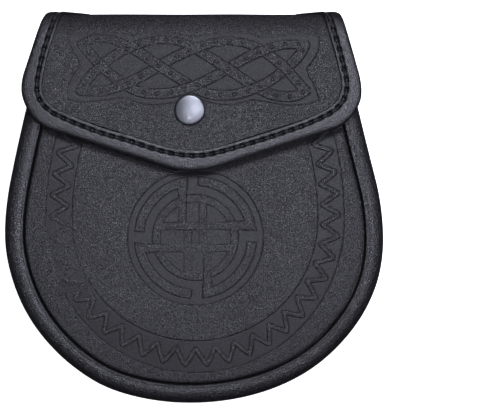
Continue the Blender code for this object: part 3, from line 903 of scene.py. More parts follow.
@dataclass(frozen=True)
class BorderStamp:
    """The border round the bag's front: a smooth band between two lines, with a zigzag ribbon in it.

    Each line is half an ellipse below the centre's height and a taller half ellipse above it.
    """

    centre: tuple[float, float] = (1.5, 92.0)
    outer: tuple[float, float, float] = (74.5, 76.9, 114.0)
    inner: tuple[float, float, float] = (61.5, 61.1, 95.6)
    middle: tuple[float, float, float] = (67.8, 69.1, 105.0)
    pitch: float = 10.4
    swing: float = 4.0
    ribbon_half: float = 1.15
    tip_share: float = 0.985
    step: float = 0.35
    top: float = 138.0

    def curve(self, radii: tuple[float, float, float]) -> Array:
        """One of the border's lines, from its right end under the flap round to its left one.

        Args:
            radii: the half-width, the half-height below the centre and the half-height above it.
        Returns:
            Points (n, 2).
        """
        across, below, above = radii
        start = math.asin((self.top - self.centre[1]) / above)
        angle = np.linspace(start, -math.pi - start, 320)
        sine = np.sin(angle)
        height = np.where(sine > 0.0, above, below) * sine
        return np.stack([self.centre[0] + across * np.cos(angle), self.centre[1] + height], axis=1)

    def zigzag(self) -> Array:
        """The ribbon's middle: a triangle wave about the middle curve, with an inner tip at the lowest point.

        It is the arcsine of a cosine that falls a little short of 1, which rounds the wave's tips.

        Returns:
            Points (n, 2).
        """
        base = self.curve(self.middle)
        lengths = lengths_along(base)
        lowest = lengths[np.argmin(base[:, 1])]
        along = np.arange(lengths[0], lengths[-1], self.step)
        points = points_at(base, along)
        outwards = to_the_left(points)
        outwards *= np.sign(((points - np.array(self.centre)) * outwards).sum(axis=1))[:, None]
        cosine = np.cos(math.tau * (along - lowest) / self.pitch)
        wave = np.arcsin(self.tip_share * cosine) / np.arcsin(self.tip_share)
        return points - outwards * (self.swing * wave)[:, None]

    def stamp(self, stamped: Stamped, plan: Array) -> None:
        """Add the border to what is stamped.

        Args:
            stamped: what is stamped so far.
            plan: its points (n, 2).
        """
        reach = Stamped.LINE_REACH
        distances, insides = [], []
        for radii in (self.outer, self.inner):
            distances.append(distance_to(plan, self.curve(radii), reach))
            vertical = np.where(plan[:, 1] > self.centre[1], radii[2], radii[1])
            across = (plan[:, 0] - self.centre[0]) / radii[0]
            insides.append(across**2 + ((plan[:, 1] - self.centre[1]) / vertical) ** 2 < 1.0)
        ribbon = distance_to(plan, self.zigzag(), reach + self.ribbon_half) - self.ribbon_half
        band = insides[0] & ~insides[1]
        nearest = np.minimum(distances[0], distances[1])
        stamped.press(np.minimum(np.where(band, nearest, -nearest), ribbon))
        for distance in (*distances, np.abs(ribbon)):
            stamped.add_line(np.where(plan[:, 1] < self.top, distance, reach))


@dataclass(frozen=True)
class MedallionStamp:
    """The round knot: a pressed disc, four bands that hook into bars, and a ring that the bars cross.

    The bands widen between two distances from the middle, and a bar's bend lies between two heights.
    """

    centre: tuple[float, float] = (1.75, 82.65)
    disc: float = 33.75
    outer: float = 28.2
    ring: float = 19.55
    half_width: float = 1.95
    outer_half_width: float = 2.45
    widening: tuple[float, float] = (20.0, 26.0)
    bar_bend: tuple[float, float] = (7.4, 4.2)
    bar_end: float = 0.4

    # Each hook turns a quarter further: its bar's offset where it starts and where it ends, and its gap
    HOOKS = ((6.45, 3.7, 2.6), (5.9, 5.6, 1.2), (6.0, 3.7, 2.2), (5.25, 5.25, 2.0))

    def hook(self, start: float, end: float, gap: float) -> Array:
        """A band: an arc from a square end to the top left, then a bar down to the ring's far side.

        The bar comes from beyond the arc, and the stamp's outer circle cuts their corner to a point.

        Args:
            start: the bar's distance from the middle at the arc.
            end: its distance from the middle at the ring.
            gap: how far above the middle line the band's square end is.
        Returns:
            Points (n, 2) about the medallion's centre.
        """
        first = math.pi - math.asin(gap / self.outer)
        last = math.pi - math.acos((start + 0.1) / self.outer)
        angle = np.linspace(first, last, 60)
        arc = round_arc(self.outer, angle)
        low = -math.sqrt((self.ring - self.bar_end) ** 2 - end**2)
        bend_top, bend_foot = self.bar_bend
        bar = np.array([[-start, self.disc], [-start, bend_top], [-end, bend_foot], [-end, low]])
        return np.vstack([arc, bar])

    def stamp(self, stamped: Stamped, plan: Array) -> None:
        """Add the medallion to what is stamped.

        Args:
            stamped: what is stamped so far.
            plan: its points (n, 2).
        """
        local = plan - np.array(self.centre)
        chosen = np.flatnonzero(np.linalg.norm(local, axis=1) < self.disc + Stamped.LINE_REACH)
        local = local[chosen]
        ring = round_arc(self.ring, np.linspace(0.0, math.tau, 121))
        hooks = [turned_about(self.hook(*row), -0.5 * math.pi * k) for k, row in enumerate(self.HOOKS)]
        knot = Interlace((*hooks, ring), ((True, False, True),) * 4 + ((False,),))
        radius = np.linalg.norm(local, axis=1)
        first, last = self.widening
        wider = (self.outer_half_width - self.half_width) * ease((radius - first) / (last - first))
        gap, line = knot.gap_and_line(local, self.half_width + wider)
        beyond = radius - self.outer - self.outer_half_width
        gap = np.maximum(gap, beyond)
        line = np.where(beyond > 0.0, gap, np.minimum(line, np.where(gap < 0.0, -beyond, line)))
        rim = self.disc - radius
        stamped.press(np.minimum(rim, gap), chosen)
        stamped.add_line(np.minimum(line, np.abs(rim)), chosen)


@dataclass(frozen=True)
class KnotBandStamp:
    """The flap's knot band: one closed ribbon with two points, and the same turned by half a turn.

    Its runs and its outer line are curves through a few places, in mm from the band's centre.
    """

    centre: tuple[float, float] = (0.75, 167.4)
    half_width: float = 2.55
    narrowing: float = 0.65
    narrow_from: float = 8.0
    narrow_over: float = 8.0
    dot_pitch: float = 6.9
    dot_radius: float = 0.95
    dot_rise: float = 0.42
    dot_softness: float = 0.03

    # From the lower left point over the middle to the lower right point, and back by the arches
    UPPER_RUN = (
        (-56.0, -11.5), (-44.3, -11.5), (-32.3, -7.5), (-22.3, -2.5), (-10.3, 4.5), (2.3, 10.2),
        (13.8, 13.0), (26.3, 12.2), (35.8, 7.5), (45.8, -0.5), (55.8, -11.8),
    )
    LOWER_RUN = (
        (55.8, -11.8), (50.0, -14.4), (39.8, -13.8), (29.3, -8.8), (18.8, -1.8), (8.3, 4.8),
        (-5.3, 12.5), (-17.8, 13.8), (-29.3, 11.0), (-40.3, 5.3), (-51.3, -4.3), (-56.0, -11.5),
    )
    # Half of the outer line, point by point between its sharp corners
    OUTER_LINE = (
        ((-62.8, 16.3), (-56.8, 18.2), (-50.8, 18.8), (-44.3, 18.5), (-38.8, 17.5), (-29.8, 16.1)),
        ((-29.8, 16.1), (-20.8, 18.1), (-14.3, 18.5), (-7.8, 17.2), (0.0, 15.0)),
        ((0.0, 15.0), (6.8, 17.0), (19.3, 18.5), (26.3, 17.7), (34.3, 14.8)),
        ((34.3, 14.8), (43.3, 16.0), (54.3, 17.2), (62.8, 16.0)),
        ((62.8, 16.0), (62.5, 10.0), (61.0, 6.0), (58.8, 2.5), (56.3, -0.5)),
        ((56.3, -0.5), (57.5, -4.5), (60.0, -8.5), (62.8, -16.3)),
    )

    def ribbons(self) -> tuple[Array, Array]:
        """The ribbon and its half turn, as closed paths."""
        upper, lower = (smooth_curve(np.array(run), 14) for run in (self.UPPER_RUN, self.LOWER_RUN))
        return tuple(side * np.vstack([upper, lower[1:]]) for side in (1.0, -1.0))

    def outer_ring(self) -> Array:
        """The line round the band, as a closed ring."""
        half = np.vstack([smooth_curve(np.array(run), 8)[:-1] for run in self.OUTER_LINE])
        return np.vstack([half, -half, half[:1]])

    def dots(self, knot: Interlace) -> Array:
        """The middles of the raised dots along the ribbons, left out where a ribbon passes below.

        Args:
            knot: the band's ribbons.
        Returns:
            Points (n, 2).
        """
        crossings = knot.crossings()
        places = []
        for number, ribbon in enumerate(knot.ribbons):
            total = lengths_along(ribbon)[-1]
            count = round(total / self.dot_pitch)
            lengths = (np.arange(count) + 0.5) * total / count
            for crossing in crossings:
                clear = self.half_width / math.sin(2.0 * crossing.half_angle) + self.dot_radius
                for who, length in zip(crossing.ribbons, crossing.lengths):
                    if who == number and not knot.over_at(who, length, crossings):
                        lengths = lengths[np.abs(lengths - length) > clear]
            places.append(points_at(ribbon, lengths))
        return np.vstack(places)

    def stamp(self, stamped: Stamped, plan: Array) -> None:
        """Add the knot band to what is stamped.

        Args:
            stamped: what is stamped so far.
            plan: its points (n, 2).
        """
        local = plan - np.array(self.centre)
        ring = self.outer_ring()
        box = np.abs(ring).max(axis=0) + Stamped.LINE_REACH
        chosen = np.flatnonzero((np.abs(local) < box).all(axis=1))
        local = local[chosen]
        knot = Interlace(self.ribbons(), ((True, False), (True, False)))
        narrower = self.narrowing * ease((local[:, 1] - self.narrow_from) / self.narrow_over)
        half_width = self.half_width - narrower
        gap, line = knot.gap_and_line(local, half_width)
        border = distance_to(local, ring, Stamped.LINE_REACH)
        depth_in = np.where(inside(local, ring[:-1]), border, -border)
        stamped.press(np.minimum(depth_in, gap), chosen)
        far = np.full(len(local), Stamped.LINE_REACH)
        for middle in self.dots(knot):
            far = np.minimum(far, np.linalg.norm(local - middle, axis=1))
        dome = np.sqrt(np.clip(1.0 - (far / self.dot_radius) ** 2, 0.0, 1.0))
        stamped.raised[chosen] += self.dot_rise * dome
        dot_line = np.abs(far - self.dot_radius) + self.dot_softness
        stamped.add_line(np.minimum(np.minimum(line, border), dot_line), chosen)


# ---- finishes


def linear(colour: str) -> tuple[float, float, float, float]:
    """An sRGB hex colour as linear red, green, blue and alpha."""
    parts = [int(colour[start : start + 2], 16) / 255.0 for start in (1, 3, 5)]
    return (*(c / 12.92 if c <= 0.04045 else ((c + 0.055) / 1.055) ** 2.4 for c in parts), 1.0)


def set_inputs(tree: Tree, node: bpy.types.Node, inputs: dict) -> None:
    """Give a node's inputs their values and links.

    Args:
        tree: the material's node tree.
        node: the node.
        inputs: a value, or the socket to link from, by the input's name or number.
    """
    for key, value in inputs.items():
        if isinstance(value, Socket):
            tree.links.new(value, node.inputs[key])
        else:
            node.inputs[key].default_value = value


def add_node(tree: Tree, kind: str, output: str | int, inputs: dict, **settings: str) -> Socket:
    """Add a node with its settings, values and links.

    Args:
        tree: the material's node tree.
        kind: the node's type, without the ShaderNode that each begins with.
        output: the name or number of the output that is used.
        inputs: a value, or the socket to link from, by the input's name or number.
        settings: the node's attributes by name.
    Returns:
        The output's socket.
    """
    node = tree.nodes.new("ShaderNode" + kind)
    for name, value in settings.items():
        setattr(node, name, value)
    set_inputs(tree, node, inputs)
    return node.outputs[output]


def new_material(name: str) -> tuple[Material, Tree, bpy.types.Node]:
    """A new material.

    Args:
        name: the material's name.
    Returns:
        The material, its node tree and its Principled shader.
    """
    material = bpy.data.materials.new(name)
    material.use_nodes = True
    return material, material.node_tree, material.node_tree.nodes["Principled BSDF"]


@dataclass(frozen=True)
class LeatherFinish:
    """Cowhide, chrome tanned and dyed black, with a grain plated into it and a thin resin finish.

    The resin gives the eye a soft, broad gloss; the pebbles break it up, and the creases between them
    are duller and darker.  Where a stamp has pressed it, the grain is flattened, and its lines are dark
    grooves between slightly raised lips.

    A pebble's width and the grain's rise are in mm.  Of the colour, line_shade is lost in a line, and in
    the painted shade that shares its value, and press_shade is left in a pressed area, where grain_kept is
    left of the grain.
    """

    name: str
    colour: str
    crease_colour: str
    pebble: float
    grain_rise: float
    roughness: float
    crease_roughness: float
    specular: float
    crease_gloss: float
    stamped: bool = False
    line_shade: float = 0.45
    press_shade: float = 0.9
    grain_kept: float = 0.42

    # A pebble's sloping edge and a pore's width in pebble widths, and its rise in pebble heights
    EDGE_SLOPE, PORE_WIDTH, PORE_RISE = 0.26, 1.1, 2.2

    # The broad mottling's width in mm, its share of the shade, and how much lighter pores are than creases
    MOTTLE_WIDTH, MOTTLE_SHADE, PORE_LIGHTER = 28.0, 0.06, 0.1

    # The middle range of each noise, beyond which it is cut off
    PORE_RANGE = {"From Min": 0.35, "From Max": 0.65}
    MOTTLE_RANGE = {"From Min": 0.3, "From Max": 0.7}

    # A line's depth and its lips' rise in grain rises, and where the lips start to fall and end, in mm
    LINE_DEPTH, LIP_RISE, LIP_START, LIP_END = 2.0, 1.2, 0.3, 1.1

    # What a fully pressed area counts as between a crease (0) and a pebble (1)
    PRESSED_LEVEL = 0.6

    def build(self) -> Material:
        """Make the material: cells with noise on them give the grain's height, colour, gloss and roughness.

        Returns:
            The material.
        """
        material, tree, shader = new_material(self.name)
        pebble = self.pebble * MM
        place = add_node(tree, "TexCoord", "Object", {})
        wander = add_node(tree, "TexNoise", "Color", {"Vector": place, "Scale": 0.5 / pebble, "Detail": 1.0})
        drift = {0: wander, 1: (pebble, pebble, pebble), 2: place}
        moved = add_node(tree, "VectorMath", 0, drift, operation="MULTIPLY_ADD")
        packed = {"Vector": moved, "Scale": 1.0 / pebble}
        cells = add_node(tree, "TexVoronoi", "Distance", packed, feature="DISTANCE_TO_EDGE")
        sloping = {"Value": cells, "From Min": 0.0, "From Max": self.EDGE_SLOPE}
        crease = add_node(tree, "MapRange", "Result", sloping, interpolation_type="SMOOTHSTEP")
        fine = {"Scale": 1.0 / (self.PORE_WIDTH * pebble), "Detail": 2.0, "Roughness": 0.6}
        pores = add_node(tree, "TexNoise", "Fac", {"Vector": place, **fine})
        height = add_node(tree, "Math", 0, {0: pores, 1: self.PORE_RISE, 2: crease}, operation="MULTIPLY_ADD")
        broad = {"Scale": 1.0 / (self.MOTTLE_WIDTH * MM), "Detail": 3.0}
        mottle = add_node(tree, "TexNoise", "Fac", {"Vector": place, **broad})
        darkest = self.crease_gloss + self.PORE_LIGHTER
        to_pores = {**self.PORE_RANGE, "To Min": darkest, "To Max": 2.0 - darkest}
        patchy = add_node(tree, "MapRange", "Result", {"Value": pores, **to_pores})
        to_mottle = {"To Min": 1.0 - self.MOTTLE_SHADE, "To Max": 1.0 + self.MOTTLE_SHADE}
        uneven = add_node(tree, "MapRange", "Result", {"Value": mottle, **self.MOTTLE_RANGE, **to_mottle})
        shade = add_node(tree, "Math", 0, {0: patchy, 1: uneven}, operation="MULTIPLY")
        if self.stamped:
            height, crease, shade = self.flatten(tree, height, crease, shade)
        colours = {"A": linear(self.crease_colour), "B": linear(self.colour)}
        colour = add_node(tree, "Mix", "Result", {"Factor": crease, **colours}, data_type="RGBA")
        shaded = add_node(tree, "VectorMath", 0, {0: colour, "Scale": shade}, operation="SCALE")
        to_rough = {"To Min": self.crease_roughness, "To Max": self.roughness}
        roughness = add_node(tree, "MapRange", "Result", {"Value": crease, **to_rough})
        to_resin = {"To Min": self.crease_gloss * self.specular, "To Max": self.specular}
        resin = add_node(tree, "MapRange", "Result", {"Value": crease, **to_resin})
        gloss = add_node(tree, "Math", 0, {0: resin, 1: shade}, operation="MULTIPLY")
        rising = {"Height": height, "Distance": self.grain_rise * MM, "Strength": 1.0}
        bump = add_node(tree, "Bump", "Normal", rising)
        set_inputs(tree, shader, {"Base Color": shaded, "Roughness": roughness, "Normal": bump})
        set_inputs(tree, shader, {"Specular IOR Level": gloss})
        return material

    def flatten(
        self, tree: Tree, height: Socket, crease: Socket, shade: Socket
    ) -> tuple[Socket, Socket, Socket]:
        """Flatten the grain where the stamp pressed, cut and darken its lines, and darken the painted shade
        that the line value also carries.

        Args:
            tree: the material's node tree.
            height: the socket with the grain's height.
            crease: the socket that is 0 in creases and 1 on pebbles.
            shade: the socket with the colour's shade.
        Returns:
            The three sockets with the stamp in them.
        """
        pressed = add_node(tree, "Attribute", "Fac", {}, attribute_name="pressed")
        line = add_node(tree, "Attribute", "Fac", {}, attribute_name="line")
        falling = {"Value": line, "To Min": 1.0, "To Max": 0.0}
        groove, lip = (
            add_node(
                tree, "MapRange", "Result", {**falling, "From Min": start, "From Max": end},
                interpolation_type="SMOOTHSTEP",
            )
            for start, end in ((Stamped.BLACK, Stamped.CLEAR), (self.LIP_START, self.LIP_END))
        )
        to_kept = {"To Min": 1.0, "To Max": self.grain_kept}
        kept = add_node(tree, "MapRange", "Result", {"Value": pressed, **to_kept})
        flat = add_node(tree, "Math", 0, {0: height, 1: kept}, operation="MULTIPLY")
        raised = add_node(tree, "Math", 0, {0: lip, 1: self.LIP_RISE, 2: flat}, operation="MULTIPLY_ADD")
        cut = add_node(tree, "Math", 0, {0: groove, 1: -self.LINE_DEPTH, 2: raised}, operation="MULTIPLY_ADD")
        level, calm = (
            add_node(tree, "Mix", "Result", {"Factor": kept, "A": smooth, "B": value}, data_type="FLOAT")
            for smooth, value in ((self.PRESSED_LEVEL, crease), (1.0, shade))
        )
        dark, dull = (
            add_node(tree, "MapRange", "Result", {"Value": value, "To Min": 1.0, "To Max": least})
            for value, least in ((groove, 1.0 - self.line_shade), (pressed, self.press_shade))
        )
        both = add_node(tree, "Math", 0, {0: dark, 1: dull}, operation="MULTIPLY")
        return cut, level, add_node(tree, "Math", 0, {0: calm, 1: both}, operation="MULTIPLY")


@dataclass(frozen=True)
class NickelFinish:
    """Brass snap hardware, satin nickel plated after tumbling, under a thin clear lacquer.

    The tumbled plate gives the eye a wide soft sheen with no sharp image, and the lacquer a smaller,
    brighter spot within it.  The tumbling's marks are drawn coarse, so that they show.
    """

    name: str = "satin_nickel_plate"
    colour: str = "#74777A"
    roughness: float = 0.4
    haze: float = 0.08
    haze_width: float = 1.6
    mark_width: float = 0.12
    mark_rise: float = 0.002
    lacquer: float = 0.22
    lacquer_roughness: float = 0.1

    def build(self) -> Material:
        """Make the material.

        Returns:
            The material.
        """
        material, tree, shader = new_material(self.name)
        place = add_node(tree, "TexCoord", "Object", {})
        broad = {"Scale": 1.0 / (self.haze_width * MM), "Detail": 3.0}
        haze = add_node(tree, "TexNoise", "Fac", {"Vector": place, **broad})
        spread = {"To Min": self.roughness - self.haze, "To Max": self.roughness + self.haze}
        roughness = add_node(tree, "MapRange", "Result", {"Value": haze, **spread})
        narrow = {"Scale": 1.0 / (self.mark_width * MM), "Detail": 1.0}
        marks = add_node(tree, "TexNoise", "Fac", {"Vector": place, **narrow})
        rising = {"Height": marks, "Distance": self.mark_rise * MM, "Strength": 1.0}
        bump = add_node(tree, "Bump", "Normal", rising)
        set_inputs(tree, shader, {"Roughness": roughness, "Normal": bump})
        set_inputs(tree, shader, {"Base Color": linear(self.colour), "Metallic": 1.0})
        set_inputs(tree, shader, {"Coat Weight": self.lacquer, "Coat Roughness": self.lacquer_roughness})
        return material


@dataclass(frozen=True)
class ThreadFinish:
    """Bonded nylon sewing thread, dyed black and waxed: two plies with a faint sheen.

    The wax gives the eye a soft light along each ply, and the fibres are drawn coarse, so that they show.
    """

    name: str = "waxed_black_thread"
    colour: str = "#3A3A40"
    shadow_colour: str = "#151518"
    fibre_width: float = 0.15
    fibre_rise: float = 0.05
    roughness: float = 0.6
    specular: float = 0.35

    def build(self) -> Material:
        """Make the material.

        Returns:
            The material.
        """
        material, tree, shader = new_material(self.name)
        place = add_node(tree, "TexCoord", "Object", {})
        fibres = add_node(tree, "TexNoise", "Fac", {"Vector": place, "Scale": 1.0 / (self.fibre_width * MM)})
        colours = {"A": linear(self.shadow_colour), "B": linear(self.colour)}
        colour = add_node(tree, "Mix", "Result", {"Factor": fibres, **colours}, data_type="RGBA")
        rising = {"Height": fibres, "Distance": self.fibre_rise * MM, "Strength": 1.0}
        bump = add_node(tree, "Bump", "Normal", rising)
        set_inputs(tree, shader, {"Base Color": colour, "Normal": bump})
        set_inputs(tree, shader, {"Roughness": self.roughness, "Specular IOR Level": self.specular})
        return material


@dataclass(frozen=True)
class Finishes:
    """The pouch's materials: the binding's glossy leather is the wall's smooth one, rolled finer."""

    grained: Material
    grained_plain: Material
    smooth: Material
    glossy: Material
    nickel: Material
    thread: Material

    @classmethod
    def make(cls) -> "Finishes":
        """Make every material once.

        Returns:
            The materials.
        """
        plain = LeatherFinish(
            name="pebble_cowhide", colour="#28282A", crease_colour="#0E0E0F", pebble=0.86, grain_rise=0.155,
            roughness=0.54, crease_roughness=0.64, specular=1.14, crease_gloss=0.56,
        )
        stamp = {"stamped": True, "line_shade": 0.26, "press_shade": 0.65}
        grained = replace(plain, name="stamped_pebble_cowhide", specular=1.16, **stamp)
        smooth = LeatherFinish(
            name="smooth_cowhide", colour="#1A1A1C", crease_colour="#141416", pebble=1.0, grain_rise=0.13,
            roughness=0.4, crease_roughness=0.47, specular=1.12, crease_gloss=0.7,
            stamped=True, line_shade=0.58, press_shade=1.0,
        )
        rolled = {"grain_rise": 0.09, "roughness": 0.42, "crease_roughness": 0.48, "crease_gloss": 0.76}
        glossy = replace(smooth, name="rolled_cowhide", specular=1.2, line_shade=0.3, **rolled)
        leathers = [finish.build() for finish in (grained, plain, smooth, glossy)]
        return cls(*leathers, NickelFinish().build(), ThreadFinish().build())


# ---- the pieces


def settle(piece: Piece, slot: Slot, *nodes: str) -> Piece:
    """Let a finished piece ride on the pouch, and stand for the solids that it shows.

    Args:
        piece: the piece.
        slot: its material slot; not used.
        nodes: the names of those solids.
    Returns:
        The piece.
    """
    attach(piece, "root")
    if nodes:
        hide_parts(*nodes)
    return piece


def level_plan(lengths: Array) -> Array:
    """Lengths along a seam as points on a straight line, for waves along it."""
    return np.stack([lengths, 0.0 * lengths], axis=1)


@dataclass
class FrontPanel:
    """The bag's front: a grained sheet, domed, stamped with the border and the medallion.

    The flap's edge has pressed a shallow dent into it, steeper below the edge than behind it, and a painted
    shadow darkens the leather along that edge.
    """

    form: BagForm
    flap: FlapForm
    rows_hidden: int = 24
    rows_seen: int = 240
    columns: int = 321
    hidden_share: float = 0.30
    step: int = 4
    press_depth: float = 0.32
    line_depth: float = 0.1
    wave_height: float = 0.28
    dent: float = 2.3
    dent_below: float = 3.6
    dent_behind: float = 7.0
    dent_end: float = 15.0
    # A painted shadow along the flap's edge: how far out it fades, and the rise of its line value
    painted_shadow_reach: float = 5.0
    painted_shade_rise: float = 0.4
    # Painted shade in the seam's groove: how far from the panel's edge it is measured, and the rise of its
    # line value
    seam_shade_reach: float = 12.0
    seam_shade_rise: float = 0.55
    faint_edge: float = -28.0
    faint_width: float = 20.0
    faint_height: float = 72.0
    faint_reach: float = 17.0
    faint_loss: float = 0.55
    worn_radius: float = 19.0
    worn_loss: float = 0.3

    def dent_and_painted_shadow(self, plan: Array) -> tuple[Array, Array]:
        """How the flap's edge has pressed the panel, and the painted shadow along it: the depth is a bell
        curve on each side of the edge.

        Args:
            plan: points (n, 2).
        Returns:
            The dent's depth at each point, and the line value of the painted shadow there.
        """
        _, drop_start, _ = self.flap.landmarks()
        flat = self.flap.edge(0.0, drop_start)
        edge = self.flap.place(flat[:, 0], flat[:, 1], np.zeros(len(flat)))[:, :2]
        away = distance_to(plan, edge[::3], self.dent_end)
        reach = np.where(inside(plan, edge[::3]), self.dent_behind, self.dent_below)
        depth = self.dent * bell(away / reach)
        return depth, Stamped.BLACK + self.painted_shade_rise * ease(away / self.painted_shadow_reach)

    def strength(self, plan: Array) -> Array:
        """How well the stamp took: half struck at the border's left, low down, and worn in the knot's middle.

        Args:
            plan: points (n, 2).
        Returns:
            A share of 0..1 for each point, by an ease across, a bell curve upwards and a flat one round.
        """
        across = ease((self.faint_edge - plan[:, 0]) / self.faint_width)
        up = bell((plan[:, 1] - self.faint_height) / self.faint_reach)
        from_middle = np.linalg.norm(plan - np.array(MedallionStamp.centre), axis=1)
        middle = bell(from_middle / self.worn_radius, 4)
        return (1.0 - self.faint_loss * across * up) * (1.0 - self.worn_loss * middle)

    def build(self, finishes: Finishes) -> Piece:
        """Make the panel: its rows are coarser where the flap hides them.

        Args:
            finishes: the pouch's materials.
        Returns:
            The panel.
        """
        shares = even_steps((0.0, self.hidden_share, 1.0), (self.rows_hidden, self.rows_seen))
        grid = self.form.panel_grid(shares, self.columns)
        plan = grid.reshape(-1, 2)
        stamped = Stamped.blank(len(plan))
        BorderStamp().stamp(stamped, plan)
        MedallionStamp().stamp(stamped, plan)
        strength = self.strength(plan)
        # The dent, and the line value of the painted shadow along the flap's edge
        dent, dull = self.dent_and_painted_shadow(plan)
        face = self.form.front(plan) + self.wave_height * 0.5 * waves(plan, seed=7, length=60.0) - dent
        relief = stamped.relief(self.press_depth, self.line_depth, strength)
        lowest = self.form.underside - self.form.fall(plan[:, 1])
        shape = panel(grid, face + relief, np.maximum(face - self.form.leather, lowest), self.step)
        # Painted shade in the seam's groove: the line value falls towards the panel's edge
        past = distance_to(plan, self.form.outline(self.form.panel_inset)[0][::2], self.seam_shade_reach)
        line = np.minimum(np.minimum(stamped.faded_line(strength), self.seam_shade_rise * past), dull)
        stamped.mark(shape, strength, line)
        return settle(shape.to_object("front_leather", finishes.grained), Slot.GRAINED, "front_panel")


@dataclass
class Gusset:
    """The bag's wall: one strip with a rolled shoulder at the front and back, carried round the outline.

    Its colour has painted shade: darkest in the groove by the seam, and darker at the bottom and down the
    right side.
    """

    form: BagForm
    stations: int = 460
    passes: int = 2
    shoulder_start: float = 30.0
    wave_height: float = 0.10
    # Painted shade: where it reaches into the seam's groove, its darkest line value there, and how much
    # darker the bottom and the right side are
    groove_shade_inset: float = 9.5
    groove_shade_value: float = 0.1
    bottom_painted_shade: float = 0.17
    right_painted_shade: float = 0.12

    # Inset, depth, and the share of the fall towards the mouth; a thin second ridge lies by the seam
    SECTION = (
        (17.0, 33.2, 1.0), (10.6, 33.2, 1.0), (9.95, 33.3, 1.0), (9.7, 34.3, 1.0), (9.4, 35.6, 1.0),
        (8.9, 36.4, 1.0), (8.3, 36.35, 1.0), (7.7, 36.2, 1.0), (6.6, 36.45, 1.0), (5.3, 36.4, 1.0),
        (4.2, 36.0, 1.0), (3.0, 35.4, 1.0), (2.0, 34.55, 1.0), (1.1, 33.45, 1.0), (0.5, 32.3, 1.0),
        (0.1, 31.0, 1.0), (0.0, 29.7, 1.0), (0.0, 22.0, 0.7), (0.0, 14.0, 0.3), (0.0, 6.0, 0.0),
        (0.2, 4.3, -0.1), (0.8, 3.0, -0.2), (1.6, 1.7, -0.3), (2.6, 0.9, -0.35), (3.8, 0.3, -0.35),
        (5.0, 0.0, -0.35), (8.2, 0.0, -0.35), (9.2, 0.8, -0.3), (9.6, 2.0, -0.2), (9.8, 5.3, 0.0),
        (17.0, 5.3, 0.0), (17.0, 7.3, 0.0), (8.6, 7.3, 0.0), (7.4, 2.4, -0.35), (4.4, 2.6, -0.35),
        (2.4, 4.6, -0.2), (2.0, 7.0, 0.0), (2.0, 29.7, 1.0), (3.3, 33.0, 1.0), (6.8, 34.4, 1.0),
        (8.0, 33.4, 1.0), (8.9, 31.9, 1.0), (17.0, 31.9, 1.0),
    )

    def build(self, finishes: Finishes) -> Piece:
        """Make the wall: each section row is moved in from the outline and lowered by its share of fall.

        Args:
            finishes: the pouch's materials.
        Returns:
            The wall.
        """
        section = rounded_loop(np.array(self.SECTION), self.passes)
        points, outwards = self.form.outline()
        lengths = np.linspace(0.0, lengths_along(points)[-1], self.stations)
        known = lengths_along(points)
        path = points_at(points, lengths)
        normal = unit(np.stack([np.interp(lengths, known, outwards[:, axis]) for axis in (0, 1)], axis=1))
        inset = self.form.narrowing(normal)[:, None] * section[None, :, 0]
        plan = path[:, None, :] - normal[:, None, :] * inset[:, :, None]
        uneven = waves(level_plan(lengths), seed=3, length=26.0)
        shoulder = section[:, 1] > self.shoulder_start
        lift = self.wave_height * uneven[:, None] * shoulder[None, :]
        depth = section[None, :, 1] - section[None, :, 2] * self.form.fall(plan[..., 1]) + lift
        shape = swept(np.concatenate([plan, depth[..., None]], axis=-1))
        # Painted shade in the groove by the seam, and down the sides that face the bottom and the right
        groove = np.maximum(self.groove_shade_inset - section[:, 0], self.groove_shade_value)
        groove = np.where(shoulder, groove, Stamped.LINE_REACH)
        bottom, right = ease((-normal[:, 1] - 0.3) / 0.5), ease((normal[:, 0] - 0.6) / 0.3)
        painted_shade_line = Stamped.CLEAR - self.bottom_painted_shade * bottom - self.right_painted_shade * right
        shape.values["line"] = np.minimum(groove[None, :], painted_shade_line[:, None]).reshape(-1)
        return settle(shape.to_object("gusset_leather", finishes.smooth), Slot.SMOOTH, "gusset")


@dataclass
class BackPanel:
    """The bag's back: a plain grained sheet whose edge turns up into the seam."""

    form: BagForm
    rows: int = 120
    columns: int = 121
    step: int = 4
    face: float = 3.0
    leather: float = 2.0
    edge_rise: float = 0.9
    edge_reach: float = 1.2
    wave_height: float = 0.10
    wave_inset: float = 8.0

    def build(self, finishes: Finishes) -> Piece:
        """Make the panel: its depth rises exponentially at the edge, and slow waves come in further in.

        Args:
            finishes: the pouch's materials.
        Returns:
            The panel.
        """
        grid = self.form.panel_grid(np.linspace(0.0, 1.0, self.rows + 1), self.columns)
        plan = grid.reshape(-1, 2)
        past = np.maximum(distance_to(plan, self.form.outline()[0][::3], 40.0) - self.form.panel_inset, 0.0)
        uneven = self.wave_height * waves(plan, seed=11, length=48.0) * ease(past / self.wave_inset)
        face = self.face + self.edge_rise * np.exp(-past / self.edge_reach) + uneven
        shape = panel(grid, face, np.full(len(plan), self.face + self.leather), self.step)
        return settle(shape.to_object("back_leather", finishes.grained_plain), Slot.GRAINED, "back_panel")


